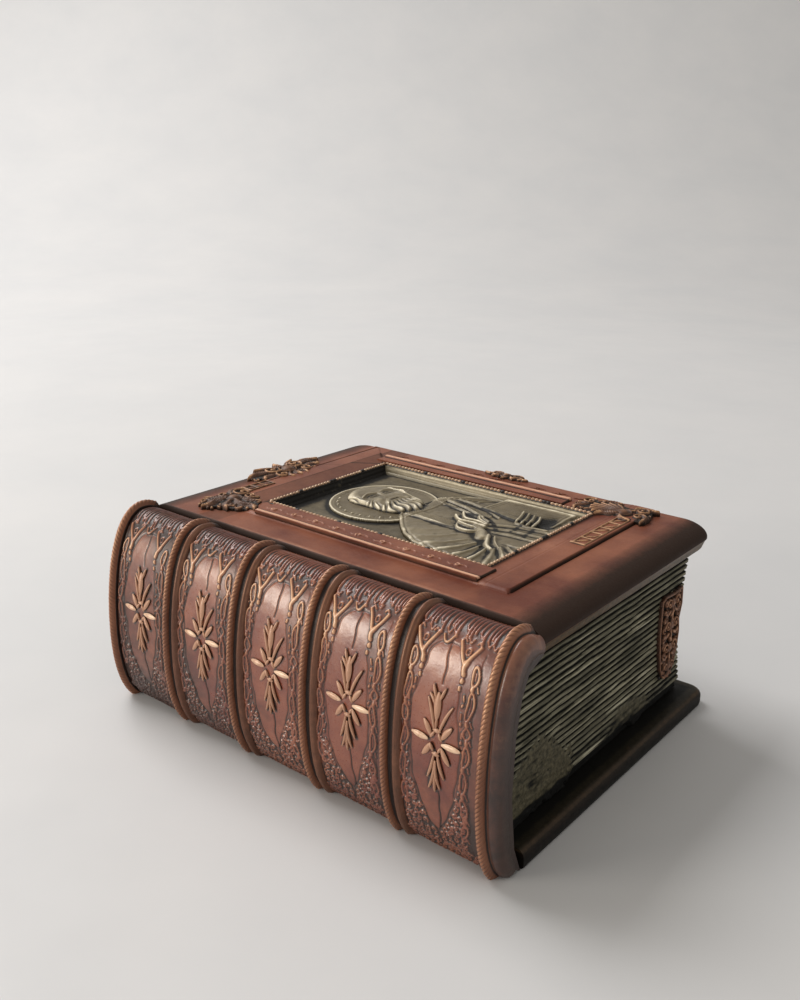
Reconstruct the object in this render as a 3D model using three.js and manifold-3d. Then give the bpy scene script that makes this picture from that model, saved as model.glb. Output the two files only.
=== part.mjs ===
// Book box: a keepsake box in the form of an old bound book that lies on its back cover.
// The front cover is a lid that lifts straight off a tray whose walls look like page edges.
// X runs along the spine from head to tail, Y from the spine to the fore-edge, Z is up.
// Lengths are millimetres. Until the last lines Y is measured from the seam between spine and lid.
import * as THREE from "three";
import { mergeVertices } from "three/addons/utils/BufferGeometryUtils.js";
import Module from "manifold-3d";

const wasm = await Module();
wasm.setup();

// Driving dimensions
const BOOK_LENGTH = 153; // back cover, head edge to tail edge
const COVER_DEPTH = 104.7; // back cover, seam to fore-edge
const COVER_THICKNESS = 5.4;
const LID_END_INSET = 1.3; // lid inside the cover's edge at head and tail
const LID_FORE_INSET = 4;
const LID_THICKNESS = 7.6;
const TRAY_HEIGHT = 49.8; // page walls
const SPINE_BULGE = 19.2; // spine behind the seam where it is fullest
const SPINE_FOOT = 11.2; // spine behind the seam on the table
const SPINE_WALL = 7.4; // thickness of the spine shell at its fullest
const PANEL_COUNT = 5;
const GAP = 0.3; // seat clearance between touching pieces
const OVERRUN = 20; // how far a cutting tool passes the piece it cuts

// Back cover and its felt
const COVER_CORNER = 5;
const COVER_ROUND = 2.2; // rounding of the cover's edge
const COVER_SPINE_EDGE = -6.2; // cover's back edge, just inside the spine's foot
const FELT_MARGIN = 7;
const FELT_THICKNESS = 0.8;
const FELT_RECESS = 1.1;

// Lid board
const LID_CORNER = 5;
const LID_TOP_CORNER = 1;
const LID_SHOULDER = 8.6; // width of the rounded shoulder at head and tail
const LID_FORE_ROUND = 1.6; // width of the same on the fore side
const LID_SHOULDER_DROP = 3.8;
const LID_BAND_TAPER = 1.5; // how far the plain band under the shoulder draws in
const LID_BACK_ROUND = 1.2;
const FIELD_HEAD_MARGIN = 12.7; // from the lid's edge to its raised field
const FIELD_TAIL_MARGIN = 18.7;
const FIELD_SPINE_MARGIN = 12.3;
const FIELD_FORE_MARGIN = 1.9;
const PLINTH_RISE = 0.6; // height of the raised field
const FRAME_HEAD_WIDTH = 19.5; // from the raised field's edge to the sunk picture field
const FRAME_TAIL_WIDTH = 14.1;
const FRAME_SPINE_WIDTH = 12.1;
const FRAME_FORE_WIDTH = 17.6;
const RECESS_DEPTH = 4.6;

// Page walls of the tray
const PAGES_END_INSET = 6.5; // pages inside the cover's edge at head and tail
const PAGES_FORE_INSET = 5.4; // the same at the fore-edge, at the top and bottom of the pages
const FORE_HOLLOW = 4.2; // depth of the hollow fore-edge
const PAGE_WALL = 5.5;
const FORE_WALL = 8.8;
const CAVITY_SPINE = 2.6; // spine side of the cavity
const LEAF_COUNT = 24; // bundles of leaves from bottom to top
const LEAF_RELIEF = 0.55;
const PLINTH_GROOVE = 3.2; // shadow groove under the pages
const PLINTH_GROOVE_DEPTH = 1.4;
const LINING_THICKNESS = 1;

// Spine bands, rims and rosettes
const RIM_SET_BACK = 3.8; // middle of a rim inside the end of the shell
const RIM_HALF_WIDTH = 1.9;
const RIB_HALF_WIDTH = 3;
const RIB_PROUD = 2.3; // bands and rims above the spine surface
const SHELL_END_INSET = 0.2; // shell inside the cover's edge at head and tail
const SHELL_END_ROUND = 1.8;
const SEAM_DROP = 1.8; // spine edge below the lid's top at the seam
const CREST_RISE = 0.2; // spine crest above the lid's top
const CREST_BACK = 6.5; // spine crest behind the seam
const SHELL_TOP_EDGE = 6.4; // thickness of the spine shell at the seam
const BULGE_HEIGHT = 27;
const ROSETTE_RELIEF = 1.1;
const BOSS_RADIUS = 2.3;
const LONG_PETAL_LENGTH = 8.4;
const LONG_PETAL_WIDTH = 2;
const LONG_PETAL_OFFSET = 5.4; // middle of the petal from the middle of the rosette
const SIDE_PETAL_LENGTH = 5.2;
const SIDE_PETAL_WIDTH = 2.2;
const SIDE_PETAL_OFFSET = 4.2;
const SLANT_PETAL_LENGTH = 6;
const SLANT_PETAL_WIDTH = 1.6;
const SLANT_PETAL_OFFSET = 4.2;

// Picture frame, beads and relief
const SPINE_RAIL_WIDTH = 8.1; // flat part of a rail, from the beads to its outer ridge
const FORE_RAIL_WIDTH = 4.6;
const RAIL_RISE = 0.5;
const RAIL_RIDGE = 1.3;
const RAIL_RIDGE_RISE = 0.4;
const SPINE_RAIL_HEAD_SETBACK = 3.4; // rail ends against the ends of the sunk field
const SPINE_RAIL_TAIL_OVERHANG = 4.1;
const FORE_RAIL_HEAD_OVERHANG = 11;
const FORE_RAIL_TAIL_SETBACK = 11.4;
const BEAD_WIDTH = 1.4;
const BEAD_RISE = 1.1;
const BEAD_SET_BACK = 0.5; // from the edge of the sunk field
const BEAD_STEPS = 6;
const PLAQUE_THICKNESS = 0.9;
const PLAQUE_FIT = 0.3;
const HALO_MARGIN = 8.4; // halo inside the long sides of the sunk field
const HALO_HEAD_MARGIN = 2.8; // halo inside the head end of the sunk field
const HALO_RIM = 1;
const HALO_THICKNESS = 0.6;
const ROBE_RISE = 1.1; // robe's edge above the halo
const FIGURE_RISE = 2.3;

// Lid locating plug
const PLUG_HEIGHT = 3;
const PLUG_CLEARANCE = 0.9;
const LID_TRAVEL_ROUND = 2.5; // plan corners of plug and linings

// Mounts on the lid and on the tail pages
const ORNAMENT_RISE = 1.7;
const CORNER_MOUNT_LENGTH = 21.4; // at the head and spine corner of the raised field
const CORNER_MOUNT_DEPTH = 22.8;
const CORNER_MOUNT_INSET = 0.4;
const CORNER_MOUNT_DROP = 7.5;
const SIDE_MOUNT_LENGTH = 36; // at the middle of the head side
const SIDE_MOUNT_WIDTH = 18;
const SIDE_MOUNT_OVERHANG = 2.3;
const SPUR_LENGTH = 19; // at the middle of the fore side
const SPUR_WIDTH = 8;
const SPUR_SET_BACK = 2;
const CORNER_SPUR_LENGTH = 29; // at the tail and fore corner
const CORNER_SPUR_WIDTH = 18;
const CORNER_SPUR_OVERHANG = 3.5;
const CORNER_SPUR_SET_BACK = 7.8;
const LADDER_WIDTH = 5; // strips that run on from the corner mounts
const LADDER_LENGTH = 32.3;
const LADDER_MARGIN = 0.7; // from the tail edge of the raised field
const LADDER_SET_BACK = 12.8;
const LADDER_RISE = 0.5;
const LADDER_BAR = 1;
const LADDER_OPENINGS = 3;
const HEAD_LADDER_MARGIN = 1; // from the head edge of the raised field
const HEAD_LADDER_RAISE = 1.4; // its start from the middle of the spine corner mount
const HEAD_LADDER_SET_BACK = 14.6; // its end from the middle of the head side
const HEAD_LADDER_OPENINGS = 2;
const CLASP_FROM_FORE = 13.8; // middle of the clasp plate from the fore-edge of the pages
const CLASP_WIDTH = 16.6;
const CLASP_RAISE = 8.6; // foot of the clasp plate above the foot of the pages
const CLASP_HEIGHT = 30;
const CLASP_THICKNESS = 1.3;

// Heights of the stack, from the table up
const TRAY_BOTTOM = COVER_THICKNESS + GAP;
const TRAY_TOP = TRAY_BOTTOM + TRAY_HEIGHT;
const LID_BOTTOM = TRAY_TOP + GAP;
const LID_TOP = LID_BOTTOM + LID_THICKNESS;
const PLINTH_TOP = LID_TOP + PLINTH_RISE;
const RECESS_FLOOR = PLINTH_TOP - RECESS_DEPTH;

// Places in plan: the lid and its fields, the pages and their cavity, the spine
const LID_LENGTH = BOOK_LENGTH - 2 * LID_END_INSET;
const LID_DEPTH = COVER_DEPTH - LID_FORE_INSET;
const PLINTH_HEAD = -LID_LENGTH / 2 + FIELD_HEAD_MARGIN;
const PLINTH_TAIL = LID_LENGTH / 2 - FIELD_TAIL_MARGIN;
const PLINTH_SPINE = FIELD_SPINE_MARGIN;
const PLINTH_FORE = LID_DEPTH - FIELD_FORE_MARGIN;
const RECESS_HEAD = PLINTH_HEAD + FRAME_HEAD_WIDTH;
const RECESS_TAIL = PLINTH_TAIL - FRAME_TAIL_WIDTH;
const RECESS_SPINE = PLINTH_SPINE + FRAME_SPINE_WIDTH;
const RECESS_FORE = PLINTH_FORE - FRAME_FORE_WIDTH;
const FRAME_MIDDLE_X = (RECESS_HEAD + RECESS_TAIL) / 2;
const FRAME_MIDDLE_Y = (RECESS_SPINE + RECESS_FORE) / 2;
const HALO_RADIUS = (RECESS_FORE - RECESS_SPINE) / 2 - HALO_MARGIN;
const HALO_X = RECESS_HEAD + HALO_HEAD_MARGIN + HALO_RADIUS;
const PAGES_HALF_LENGTH = BOOK_LENGTH / 2 - PAGES_END_INSET;
const PAGES_FORE = COVER_DEPTH - PAGES_FORE_INSET;
const CAVITY_FORE = PAGES_FORE - FORE_WALL;
const CAVITY_HALF_LENGTH = PAGES_HALF_LENGTH - PAGE_WALL;
const SHELL_END = BOOK_LENGTH / 2 - SHELL_END_INSET; // half length of the spine shell
const RIM_X = SHELL_END - RIM_SET_BACK;
const PANEL_PITCH = (2 * RIM_X) / PANEL_COUNT;

// Materials, one for each finish
function finish(color, roughness, metalness) {
  return new THREE.MeshStandardMaterial({ color, roughness, metalness });
}
const cordovan = finish(0x7a4638, 0.5, 0.1);
const copper = finish(0xa8714f, 0.4, 0.5);
const bronze = finish(0x6f6a55, 0.45, 0.6);
const leaves = finish(0x5d5a4a, 0.8, 0);
const felt = finish(0x2b2a28, 0.95, 0);
const velvet = finish(0x5a1f22, 0.95, 0);

const model = new THREE.Group();
const box = new THREE.Group();
const lid = new THREE.Group();
model.add(box, lid);

function addPiece(group, name, geometry, material) {
  const mesh = new THREE.Mesh(geometry, material);
  mesh.name = name;
  group.add(mesh);
  return mesh;
}

// Solids: from a closed geometry and back
function toSolid(geometry) {
  const bare = geometry.clone();
  bare.deleteAttribute("normal");
  bare.deleteAttribute("uv");
  const merged = mergeVertices(bare);
  return new wasm.Manifold(
    new wasm.Mesh({
      numProp: 3,
      vertProperties: new Float32Array(merged.attributes.position.array),
      triVerts: new Uint32Array(merged.index.array),
    }),
  );
}

function toGeometry(solid) {
  const mesh = solid.getMesh();
  const geometry = new THREE.BufferGeometry();
  geometry.setAttribute("position", new THREE.BufferAttribute(new Float32Array(mesh.vertProperties), 3));
  geometry.setIndex(Array.from(mesh.triVerts));
  geometry.computeVertexNormals();
  return geometry;
}

function join(solids) {
  return solids.reduce((whole, next) => whole.add(next));
}

// Prisms of an outline along each axis
const AXES = {
  x: new THREE.Matrix4().makeBasis(
    new THREE.Vector3(0, 1, 0), new THREE.Vector3(0, 0, 1), new THREE.Vector3(1, 0, 0)),
  y: new THREE.Matrix4().makeBasis(
    new THREE.Vector3(-1, 0, 0), new THREE.Vector3(0, 0, 1), new THREE.Vector3(0, 1, 0)),
  z: new THREE.Matrix4(),
};

function prism(axis, outline, from, to, round = 0) {
  const shape = new THREE.Shape(outline.map(([a, b]) => new THREE.Vector2(axis === "y" ? -a : a, b)));
  const geometry = new THREE.ExtrudeGeometry(shape, {
    depth: to - from - 2 * round,
    bevelEnabled: round > 0,
    bevelThickness: round,
    bevelSize: round,
    bevelOffset: -round,
    bevelSegments: 3,
  });
  geometry.translate(0, 0, from + round);
  return geometry.applyMatrix4(AXES[axis]);
}

function block(x0, x1, y0, y1, z0, z1) {
  return prism("z", [[x0, y0], [x1, y0], [x1, y1], [x0, y1]], z0, z1);
}

function roundedOutline(x0, x1, y0, y1, radius, steps = 4) {
  const corners = [
    [x1 - radius, y0 + radius, -0.5],
    [x1 - radius, y1 - radius, 0],
    [x0 + radius, y1 - radius, 0.5],
    [x0 + radius, y0 + radius, 1],
  ];
  return corners.flatMap(([cx, cy, turn]) =>
    Array.from({ length: steps + 1 }, (_, i) => {
      const angle = Math.PI * (turn + (0.5 * i) / steps);
      return [cx + radius * Math.cos(angle), cy + radius * Math.sin(angle)];
    }),
  );
}

// A solid through rings of equal count, closed by flat ends. Convex ends are fans unless faces are given.
function loft(rings, endFaces = fan(rings[0].length)) {
  const count = rings[0].length;
  const positions = rings.flat().flatMap((p) => [p.x, p.y, p.z]);
  const faces = [];
  for (let r = 0; r + 1 < rings.length; r++) {
    for (let i = 0; i < count; i++) {
      const j = (i + 1) % count;
      const a = r * count + i;
      const b = r * count + j;
      faces.push(a, b, b + count, a, b + count, a + count);
    }
  }
  const last = (rings.length - 1) * count;
  for (const [a, b, c] of endFaces) {
    faces.push(a, c, b, last + a, last + b, last + c);
  }
  const geometry = new THREE.BufferGeometry();
  geometry.setAttribute("position", new THREE.Float32BufferAttribute(positions, 3));
  geometry.setIndex(signedVolume(positions, faces) < 0 ? faces.reverse() : faces);
  geometry.computeVertexNormals();
  return geometry;
}

function fan(count) {
  return Array.from({ length: count - 2 }, (_, i) => [0, i + 1, i + 2]);
}

function signedVolume(positions, faces) {
  const corner = (k) => new THREE.Vector3().fromArray(positions, 3 * faces[k]);
  let volume = 0;
  for (let k = 0; k < faces.length; k += 3) {
    volume += corner(k).dot(corner(k + 1).cross(corner(k + 2)));
  }
  return volume;
}

// Spine profile in the Y-Z plane: seam, crest, fullest point and foot joined by Bezier curves
const CREST_Z = LID_TOP + CREST_RISE;
const SEAM_Z = LID_TOP - SEAM_DROP;
const PROFILE_STEPS = 22;
const crestReachShare = 0.62;
const bulgeRiseShare = 0.58;
const footFallShare = 0.5;
const footReachShare = 0.34;
const footLiftShare = 0.13;
const spineProfile = new THREE.CurvePath();
const seamPoint = new THREE.Vector2(0, SEAM_Z);
const crestPoint = new THREE.Vector2(-CREST_BACK, CREST_Z);
const bulgePoint = new THREE.Vector2(-SPINE_BULGE, BULGE_HEIGHT);
const footPoint = new THREE.Vector2(-SPINE_FOOT, 0);
spineProfile.add(new THREE.CubicBezierCurve(
  seamPoint,
  new THREE.Vector2(-CREST_BACK / 3, SEAM_Z + SEAM_DROP / 3),
  new THREE.Vector2(-CREST_BACK / 2, CREST_Z),
  crestPoint,
));
spineProfile.add(new THREE.CubicBezierCurve(
  crestPoint,
  new THREE.Vector2(-CREST_BACK - crestReachShare * (SPINE_BULGE - CREST_BACK), CREST_Z),
  new THREE.Vector2(-SPINE_BULGE, BULGE_HEIGHT + bulgeRiseShare * (CREST_Z - BULGE_HEIGHT)),
  bulgePoint,
));
spineProfile.add(new THREE.CubicBezierCurve(
  bulgePoint,
  new THREE.Vector2(-SPINE_BULGE, footFallShare * BULGE_HEIGHT),
  new THREE.Vector2(-SPINE_BULGE + footReachShare * (SPINE_BULGE - SPINE_FOOT), footLiftShare * BULGE_HEIGHT),
  footPoint,
));

// Point of the profile at a share of its length, moved out along its normal
function onSpine(share, out = 0) {
  const point = spineProfile.getPointAt(share);
  const along = spineProfile.getTangentAt(share);
  return { y: point.x + along.y * out, z: Math.max(point.y - along.x * out, 0), along };
}

function spineLine(out, steps = PROFILE_STEPS) {
  return Array.from({ length: steps + 1 }, (_, i) => {
    const { y, z } = onSpine(i / steps, out);
    return [y, z];
  });
}

// Back cover: a slab with rounded edges and a shallow recess for the felt under it
function slab(halfLength, backY, foreY, corner, levels) {
  return loft(levels.map(({ inset, z }) =>
    roundedOutline(
      -halfLength + inset, halfLength - inset, backY, foreY - inset, corner - inset,
    ).map(([x, y]) => new THREE.Vector3(x, y, z)),
  ));
}

function makeBackCover() {
  const lean = COVER_ROUND / 3;
  const cover = slab(BOOK_LENGTH / 2, COVER_SPINE_EDGE, COVER_DEPTH, COVER_CORNER, [
    { inset: lean, z: 0 },
    { inset: 0, z: COVER_THICKNESS - 2 * COVER_ROUND + lean },
    { inset: lean / 2, z: COVER_THICKNESS - COVER_ROUND + lean },
    { inset: COVER_ROUND, z: COVER_THICKNESS },
  ]);
  const inset = FELT_MARGIN - GAP;
  const pocket = prism("z", roundedOutline(
    -BOOK_LENGTH / 2 + inset, BOOK_LENGTH / 2 - inset,
    COVER_SPINE_EDGE + inset, COVER_DEPTH - inset, COVER_CORNER,
  ), -OVERRUN, FELT_RECESS);
  return toGeometry(toSolid(cover).subtract(toSolid(pocket)));
}

function makeFeltPad() {
  return prism("z", roundedOutline(
    -BOOK_LENGTH / 2 + FELT_MARGIN, BOOK_LENGTH / 2 - FELT_MARGIN,
    COVER_SPINE_EDGE + FELT_MARGIN, COVER_DEPTH - FELT_MARGIN, COVER_CORNER,
  ), 0, FELT_THICKNESS);
}

addPiece(box, "back_cover", makeBackCover(), cordovan);
addPiece(box, "felt_base_pad", makeFeltPad(), felt);

// Spine shell: a curved board with rounded ends, thick at its fullest and thinner at seam and foot
const SHELL_INNER_TOP = SEAM_Z - SHELL_TOP_EDGE;
const innerShoulderShares = [0.57, 0.93];
const innerWaistShares = [1, 0.42];
const innerHeelShares = [0.84, 0.13];

function shellInnerLine(out) {
  const reach = SPINE_BULGE - SPINE_WALL;
  const curve = new THREE.SplineCurve([
    new THREE.Vector2(0, SHELL_INNER_TOP - out),
    new THREE.Vector2(-innerShoulderShares[0] * reach + out, innerShoulderShares[1] * SHELL_INNER_TOP),
    new THREE.Vector2(-innerWaistShares[0] * reach + out, innerWaistShares[1] * SHELL_INNER_TOP),
    new THREE.Vector2(-innerHeelShares[0] * reach + out, innerHeelShares[1] * SHELL_INNER_TOP),
    new THREE.Vector2(COVER_SPINE_EDGE - GAP + out, 0),
  ]);
  return curve.getPoints(PROFILE_STEPS / 2).map((p) => [p.x, Math.max(p.y, 0)]);
}

function makeSpineShell() {
  const outline = (inset) => [...spineLine(-inset), ...shellInnerLine(-inset).reverse()];
  const steps = 3;
  const halfRings = Array.from({ length: steps + 1 }, (_, i) => {
    const angle = ((Math.PI / 2) * i) / steps;
    return {
      x: SHELL_END - SHELL_END_ROUND * (1 - Math.sin(angle)),
      inset: SHELL_END_ROUND * (1 - Math.cos(angle)),
    };
  });
  const stations = [...halfRings.map(({ x, inset }) => ({ x: -x, inset })).reverse(), ...halfRings];
  const rings = stations.map(({ x, inset }) => outline(inset).map(([y, z]) => new THREE.Vector3(x, y, z)));
  const section = outline(0).map(([y, z]) => new THREE.Vector2(y, z));
  const clockwise = THREE.ShapeUtils.isClockWise(section);
  const faces = THREE.ShapeUtils.triangulateShape(clockwise ? section.slice().reverse() : section, []);
  const last = section.length - 1;
  return loft(rings, clockwise ? faces.map((face) => face.map((i) => last - i).reverse()) : faces);
}

addPiece(box, "spine_shell", makeSpineShell(), cordovan);

// Rims at the ends of the spine and raised bands between the panels: half-round, swept over the spine
const RIB_STEPS = 30;
const RIB_SIDES = 8;

function makeRib(x, halfWidth) {
  const rings = Array.from({ length: RIB_STEPS + 1 }, (_, step) => {
    const share = step / RIB_STEPS;
    return Array.from({ length: RIB_SIDES + 1 }, (_, side) => {
      const angle = (Math.PI * side) / RIB_SIDES;
      const out = GAP + (RIB_PROUD - GAP) * Math.sin(angle);
      const { y, z } = onSpine(share, out);
      return new THREE.Vector3(x + halfWidth * Math.cos(angle), Math.min(y, 0), z);
    });
  });
  return loft(rings);
}

addPiece(box, "head_rim", makeRib(-RIM_X, RIM_HALF_WIDTH), copper);
addPiece(box, "tail_rim", makeRib(RIM_X, RIM_HALF_WIDTH), copper);
for (let i = 1; i < PANEL_COUNT; i++) {
  const x = (i - PANEL_COUNT / 2) * PANEL_PITCH;
  addPiece(box, `raised_band_${i}`, makeRib(x, RIB_HALF_WIDTH), copper);
}

// Rosettes: eight petals and a boss on each spine panel, laid on the curve of the spine
const rosetteHeightShare = 0.5;
const LONG_PETAL = { length: LONG_PETAL_LENGTH, width: LONG_PETAL_WIDTH, offset: LONG_PETAL_OFFSET };
const SIDE_PETAL = { length: SIDE_PETAL_LENGTH, width: SIDE_PETAL_WIDTH, offset: SIDE_PETAL_OFFSET };
const SLANT_PETAL = { length: SLANT_PETAL_LENGTH, width: SLANT_PETAL_WIDTH, offset: SLANT_PETAL_OFFSET };
const ROSETTE_PETALS = [0, 1, 2, 3, 4, 5, 6, 7].map((k) => ({
  angle: (k * Math.PI) / 4,
  ...(k % 4 === 0 ? SIDE_PETAL : k % 2 === 0 ? LONG_PETAL : SLANT_PETAL),
}));

function ellipsoid(halfX, halfY, halfZ, sides = 8, rows = 5) {
  return new THREE.SphereGeometry(1, sides, rows).scale(halfX, halfY, halfZ);
}

function makeRosette(x) {
  const length = spineProfile.getLength();
  const petals = ROSETTE_PETALS.map((petal) => {
    const across = petal.offset * Math.cos(petal.angle);
    const along = petal.offset * Math.sin(petal.angle);
    const seat = onSpine(rosetteHeightShare - along / length, GAP);
    const leaf = ellipsoid(petal.length / 2, petal.width / 2, ROSETTE_RELIEF);
    leaf.rotateZ(petal.angle);
    leaf.applyMatrix4(spineFrame(seat));
    return toSolid(leaf.translate(x + across, seat.y, seat.z));
  });
  const middle = onSpine(rosetteHeightShare, GAP);
  const boss = ellipsoid(BOSS_RADIUS, BOSS_RADIUS, ROSETTE_RELIEF);
  boss.applyMatrix4(spineFrame(middle));
  petals.push(toSolid(boss.translate(x, middle.y, middle.z)));
  return toGeometry(join(petals).subtract(spineGrown));
}

// Turns flat work to lie on the spine: X along the book, Y up the spine, Z out of it
function spineFrame({ along }) {
  return new THREE.Matrix4().makeBasis(
    new THREE.Vector3(1, 0, 0),
    new THREE.Vector3(0, -along.x, -along.y),
    new THREE.Vector3(0, along.y, -along.x),
  );
}

const spineGrown = toSolid(prism("x", [...spineLine(GAP), [OVERRUN, 0], [OVERRUN, SEAM_Z]], -SHELL_END, SHELL_END));
for (let i = 0; i < PANEL_COUNT; i++) {
  const x = (i - (PANEL_COUNT - 1) / 2) * PANEL_PITCH;
  addPiece(box, `spine_rosette_${i + 1}`, makeRosette(x), copper);
}

// Page walls: one ribbed block with a hollow fore-edge and a rounded back, cut to a tray and mitred in four
function leafLine(surface, outward) {
  const points = [];
  const bottom = TRAY_BOTTOM + PLINTH_GROOVE;
  const pitch = (TRAY_TOP - bottom) / LEAF_COUNT;
  points.push([surface(TRAY_BOTTOM) - outward * PLINTH_GROOVE_DEPTH, TRAY_BOTTOM]);
  points.push([surface(bottom) - outward * PLINTH_GROOVE_DEPTH, bottom]);
  for (let i = 0; i < LEAF_COUNT; i++) {
    const z = bottom + i * pitch;
    points.push([surface(z + pitch / 3) - outward * GAP / 2, z + pitch / 3]);
    points.push([surface(z + pitch) - outward * LEAF_RELIEF, z + pitch]);
  }
  return points;
}

function foreSurface(z) {
  const share = (z - TRAY_BOTTOM) / TRAY_HEIGHT;
  return PAGES_FORE - FORE_HOLLOW * Math.sin(Math.PI * share);
}

function makePageBlock() {
  const back = shellInnerLine(GAP).filter(([, z]) => z > TRAY_BOTTOM && z < TRAY_TOP);
  const backTop = [back[0][0] + GAP, TRAY_TOP];
  const backFoot = [COVER_SPINE_EDGE, TRAY_BOTTOM];
  const depthOutline = [...leafLine(foreSurface, 1), backTop, ...back, backFoot];
  const lengthwise = toSolid(prism("x", depthOutline, -BOOK_LENGTH, BOOK_LENGTH));
  const tailLine = leafLine(() => PAGES_HALF_LENGTH, 1);
  const headLine = leafLine(() => -PAGES_HALF_LENGTH, -1).reverse();
  const across = toSolid(prism("y", [...tailLine, ...headLine], -OVERRUN, COVER_DEPTH));
  const cavity = toSolid(block(
    -CAVITY_HALF_LENGTH, CAVITY_HALF_LENGTH, CAVITY_SPINE, CAVITY_FORE, -OVERRUN, LID_TOP,
  ));
  return lengthwise.intersect(across).subtract(cavity);
}

const pageBlock = makePageBlock();
const MITRE = GAP / Math.SQRT2;

// One wall's share of the block: everything beyond one side of the cavity, with mitred ends
function mitred(nearX0, nearX1, nearY0, nearY1, farX0, farX1, farY0, farY1) {
  const outline = [[nearX0, nearY0], [farX0, farY0], [farX1, farY1], [nearX1, nearY1]];
  return toSolid(prism("z", outline, 0, LID_TOP));
}

const REACH = OVERRUN;
const cavityEnd = CAVITY_HALF_LENGTH;
const wallRegions = {
  page_wall_tail: mitred(
    cavityEnd, cavityEnd, CAVITY_SPINE + MITRE, CAVITY_FORE - MITRE,
    cavityEnd + REACH, cavityEnd + REACH, CAVITY_SPINE + MITRE - REACH, CAVITY_FORE - MITRE + REACH),
  page_wall_head: mitred(
    -cavityEnd, -cavityEnd, CAVITY_FORE - MITRE, CAVITY_SPINE + MITRE,
    -cavityEnd - REACH, -cavityEnd - REACH, CAVITY_FORE - MITRE + REACH, CAVITY_SPINE + MITRE - REACH),
  page_wall_fore: mitred(
    cavityEnd - MITRE, -cavityEnd + MITRE, CAVITY_FORE, CAVITY_FORE,
    cavityEnd - MITRE + REACH, -cavityEnd + MITRE - REACH, CAVITY_FORE + REACH, CAVITY_FORE + REACH),
  page_wall_spine: mitred(
    -cavityEnd + MITRE, cavityEnd - MITRE, CAVITY_SPINE, CAVITY_SPINE,
    -cavityEnd + MITRE - REACH, cavityEnd - MITRE + REACH, CAVITY_SPINE - REACH, CAVITY_SPINE - REACH),
};
for (const [name, region] of Object.entries(wallRegions)) {
  addPiece(box, name, toGeometry(pageBlock.intersect(region)), leaves);
}

function makeLining(clearance, bottom, thickness) {
  return prism("z", roundedOutline(
    -CAVITY_HALF_LENGTH + clearance, CAVITY_HALF_LENGTH - clearance,
    CAVITY_SPINE + clearance, CAVITY_FORE - clearance, LID_TRAVEL_ROUND,
  ), bottom, bottom + thickness);
}

addPiece(box, "floor_lining", makeLining(GAP, TRAY_BOTTOM, LINING_THICKNESS), velvet);

// Clasp plate on the tail pages: a tall pierced plate, straight towards the spine, scalloped towards the
// fore-edge and wider above than below. Its outline holds shares of the width and of the height.
const claspOutlineShares = [
  [0, 0.08], [0.1, 0], [0.3, 0.04], [0.46, 0], [0.6, 0.07], [0.72, 0.03], [0.74, 0.16], [0.66, 0.24],
  [0.74, 0.33], [0.68, 0.42], [0.86, 0.47], [0.98, 0.55], [0.92, 0.64], [1, 0.74], [0.94, 0.84], [0.8, 0.93],
  [0.64, 0.95], [0.5, 1], [0.34, 0.96], [0.18, 0.99], [0.06, 0.93], [0, 0.84],
];
// Openings of the plate as diamonds: middle across, middle up, half width and half height as shares
const claspOpeningShares = [
  [0.36, 0.14, 0.1, 0.045], [0.3, 0.34, 0.08, 0.06], [0.54, 0.27, 0.07, 0.05], [0.36, 0.56, 0.09, 0.055],
  [0.66, 0.62, 0.09, 0.05], [0.42, 0.79, 0.1, 0.045], [0.7, 0.81, 0.07, 0.04],
];

function makeClaspPlate() {
  const back = PAGES_FORE - CLASP_FROM_FORE - CLASP_WIDTH / 2;
  const bottom = TRAY_BOTTOM + CLASP_RAISE;
  const place = ([across, up]) => [back + across * CLASP_WIDTH, bottom + up * CLASP_HEIGHT];
  const face = PAGES_HALF_LENGTH + GAP;
  const plate = toSolid(prism("x", claspOutlineShares.map(place), face, face + CLASP_THICKNESS));
  const openings = claspOpeningShares.map(([across, up, halfWidth, halfHeight]) => toSolid(prism("x", [
    place([across - halfWidth, up]), place([across, up - halfHeight]),
    place([across + halfWidth, up]), place([across, up + halfHeight]),
  ], face - OVERRUN, face + OVERRUN)));
  return toGeometry(plate.subtract(join(openings)));
}

addPiece(box, "clasp_plate", makeClaspPlate(), copper);

// Lid board: wide shoulders at head and tail, a small rounding on the fore side, a straight back edge, and a
// raised field with a sunk picture
function lidRing(inset, foreInset, backInset, z) {
  const corner = Math.max(LID_CORNER - inset, LID_TOP_CORNER);
  const half = LID_LENGTH / 2 - inset;
  const fore = LID_DEPTH - foreInset;
  const back = GAP + backInset;
  const steps = 5;
  const arc = (cx, cy, turn) => Array.from({ length: steps + 1 }, (_, i) => {
    const angle = Math.PI * (turn + (0.5 * i) / steps);
    return new THREE.Vector3(cx + corner * Math.cos(angle), cy + corner * Math.sin(angle), z);
  });
  return [
    new THREE.Vector3(-half, back, z),
    new THREE.Vector3(half, back, z),
    ...arc(half - corner, fore - corner, 0),
    ...arc(-half + corner, fore - corner, 0.5),
  ];
}

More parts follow.
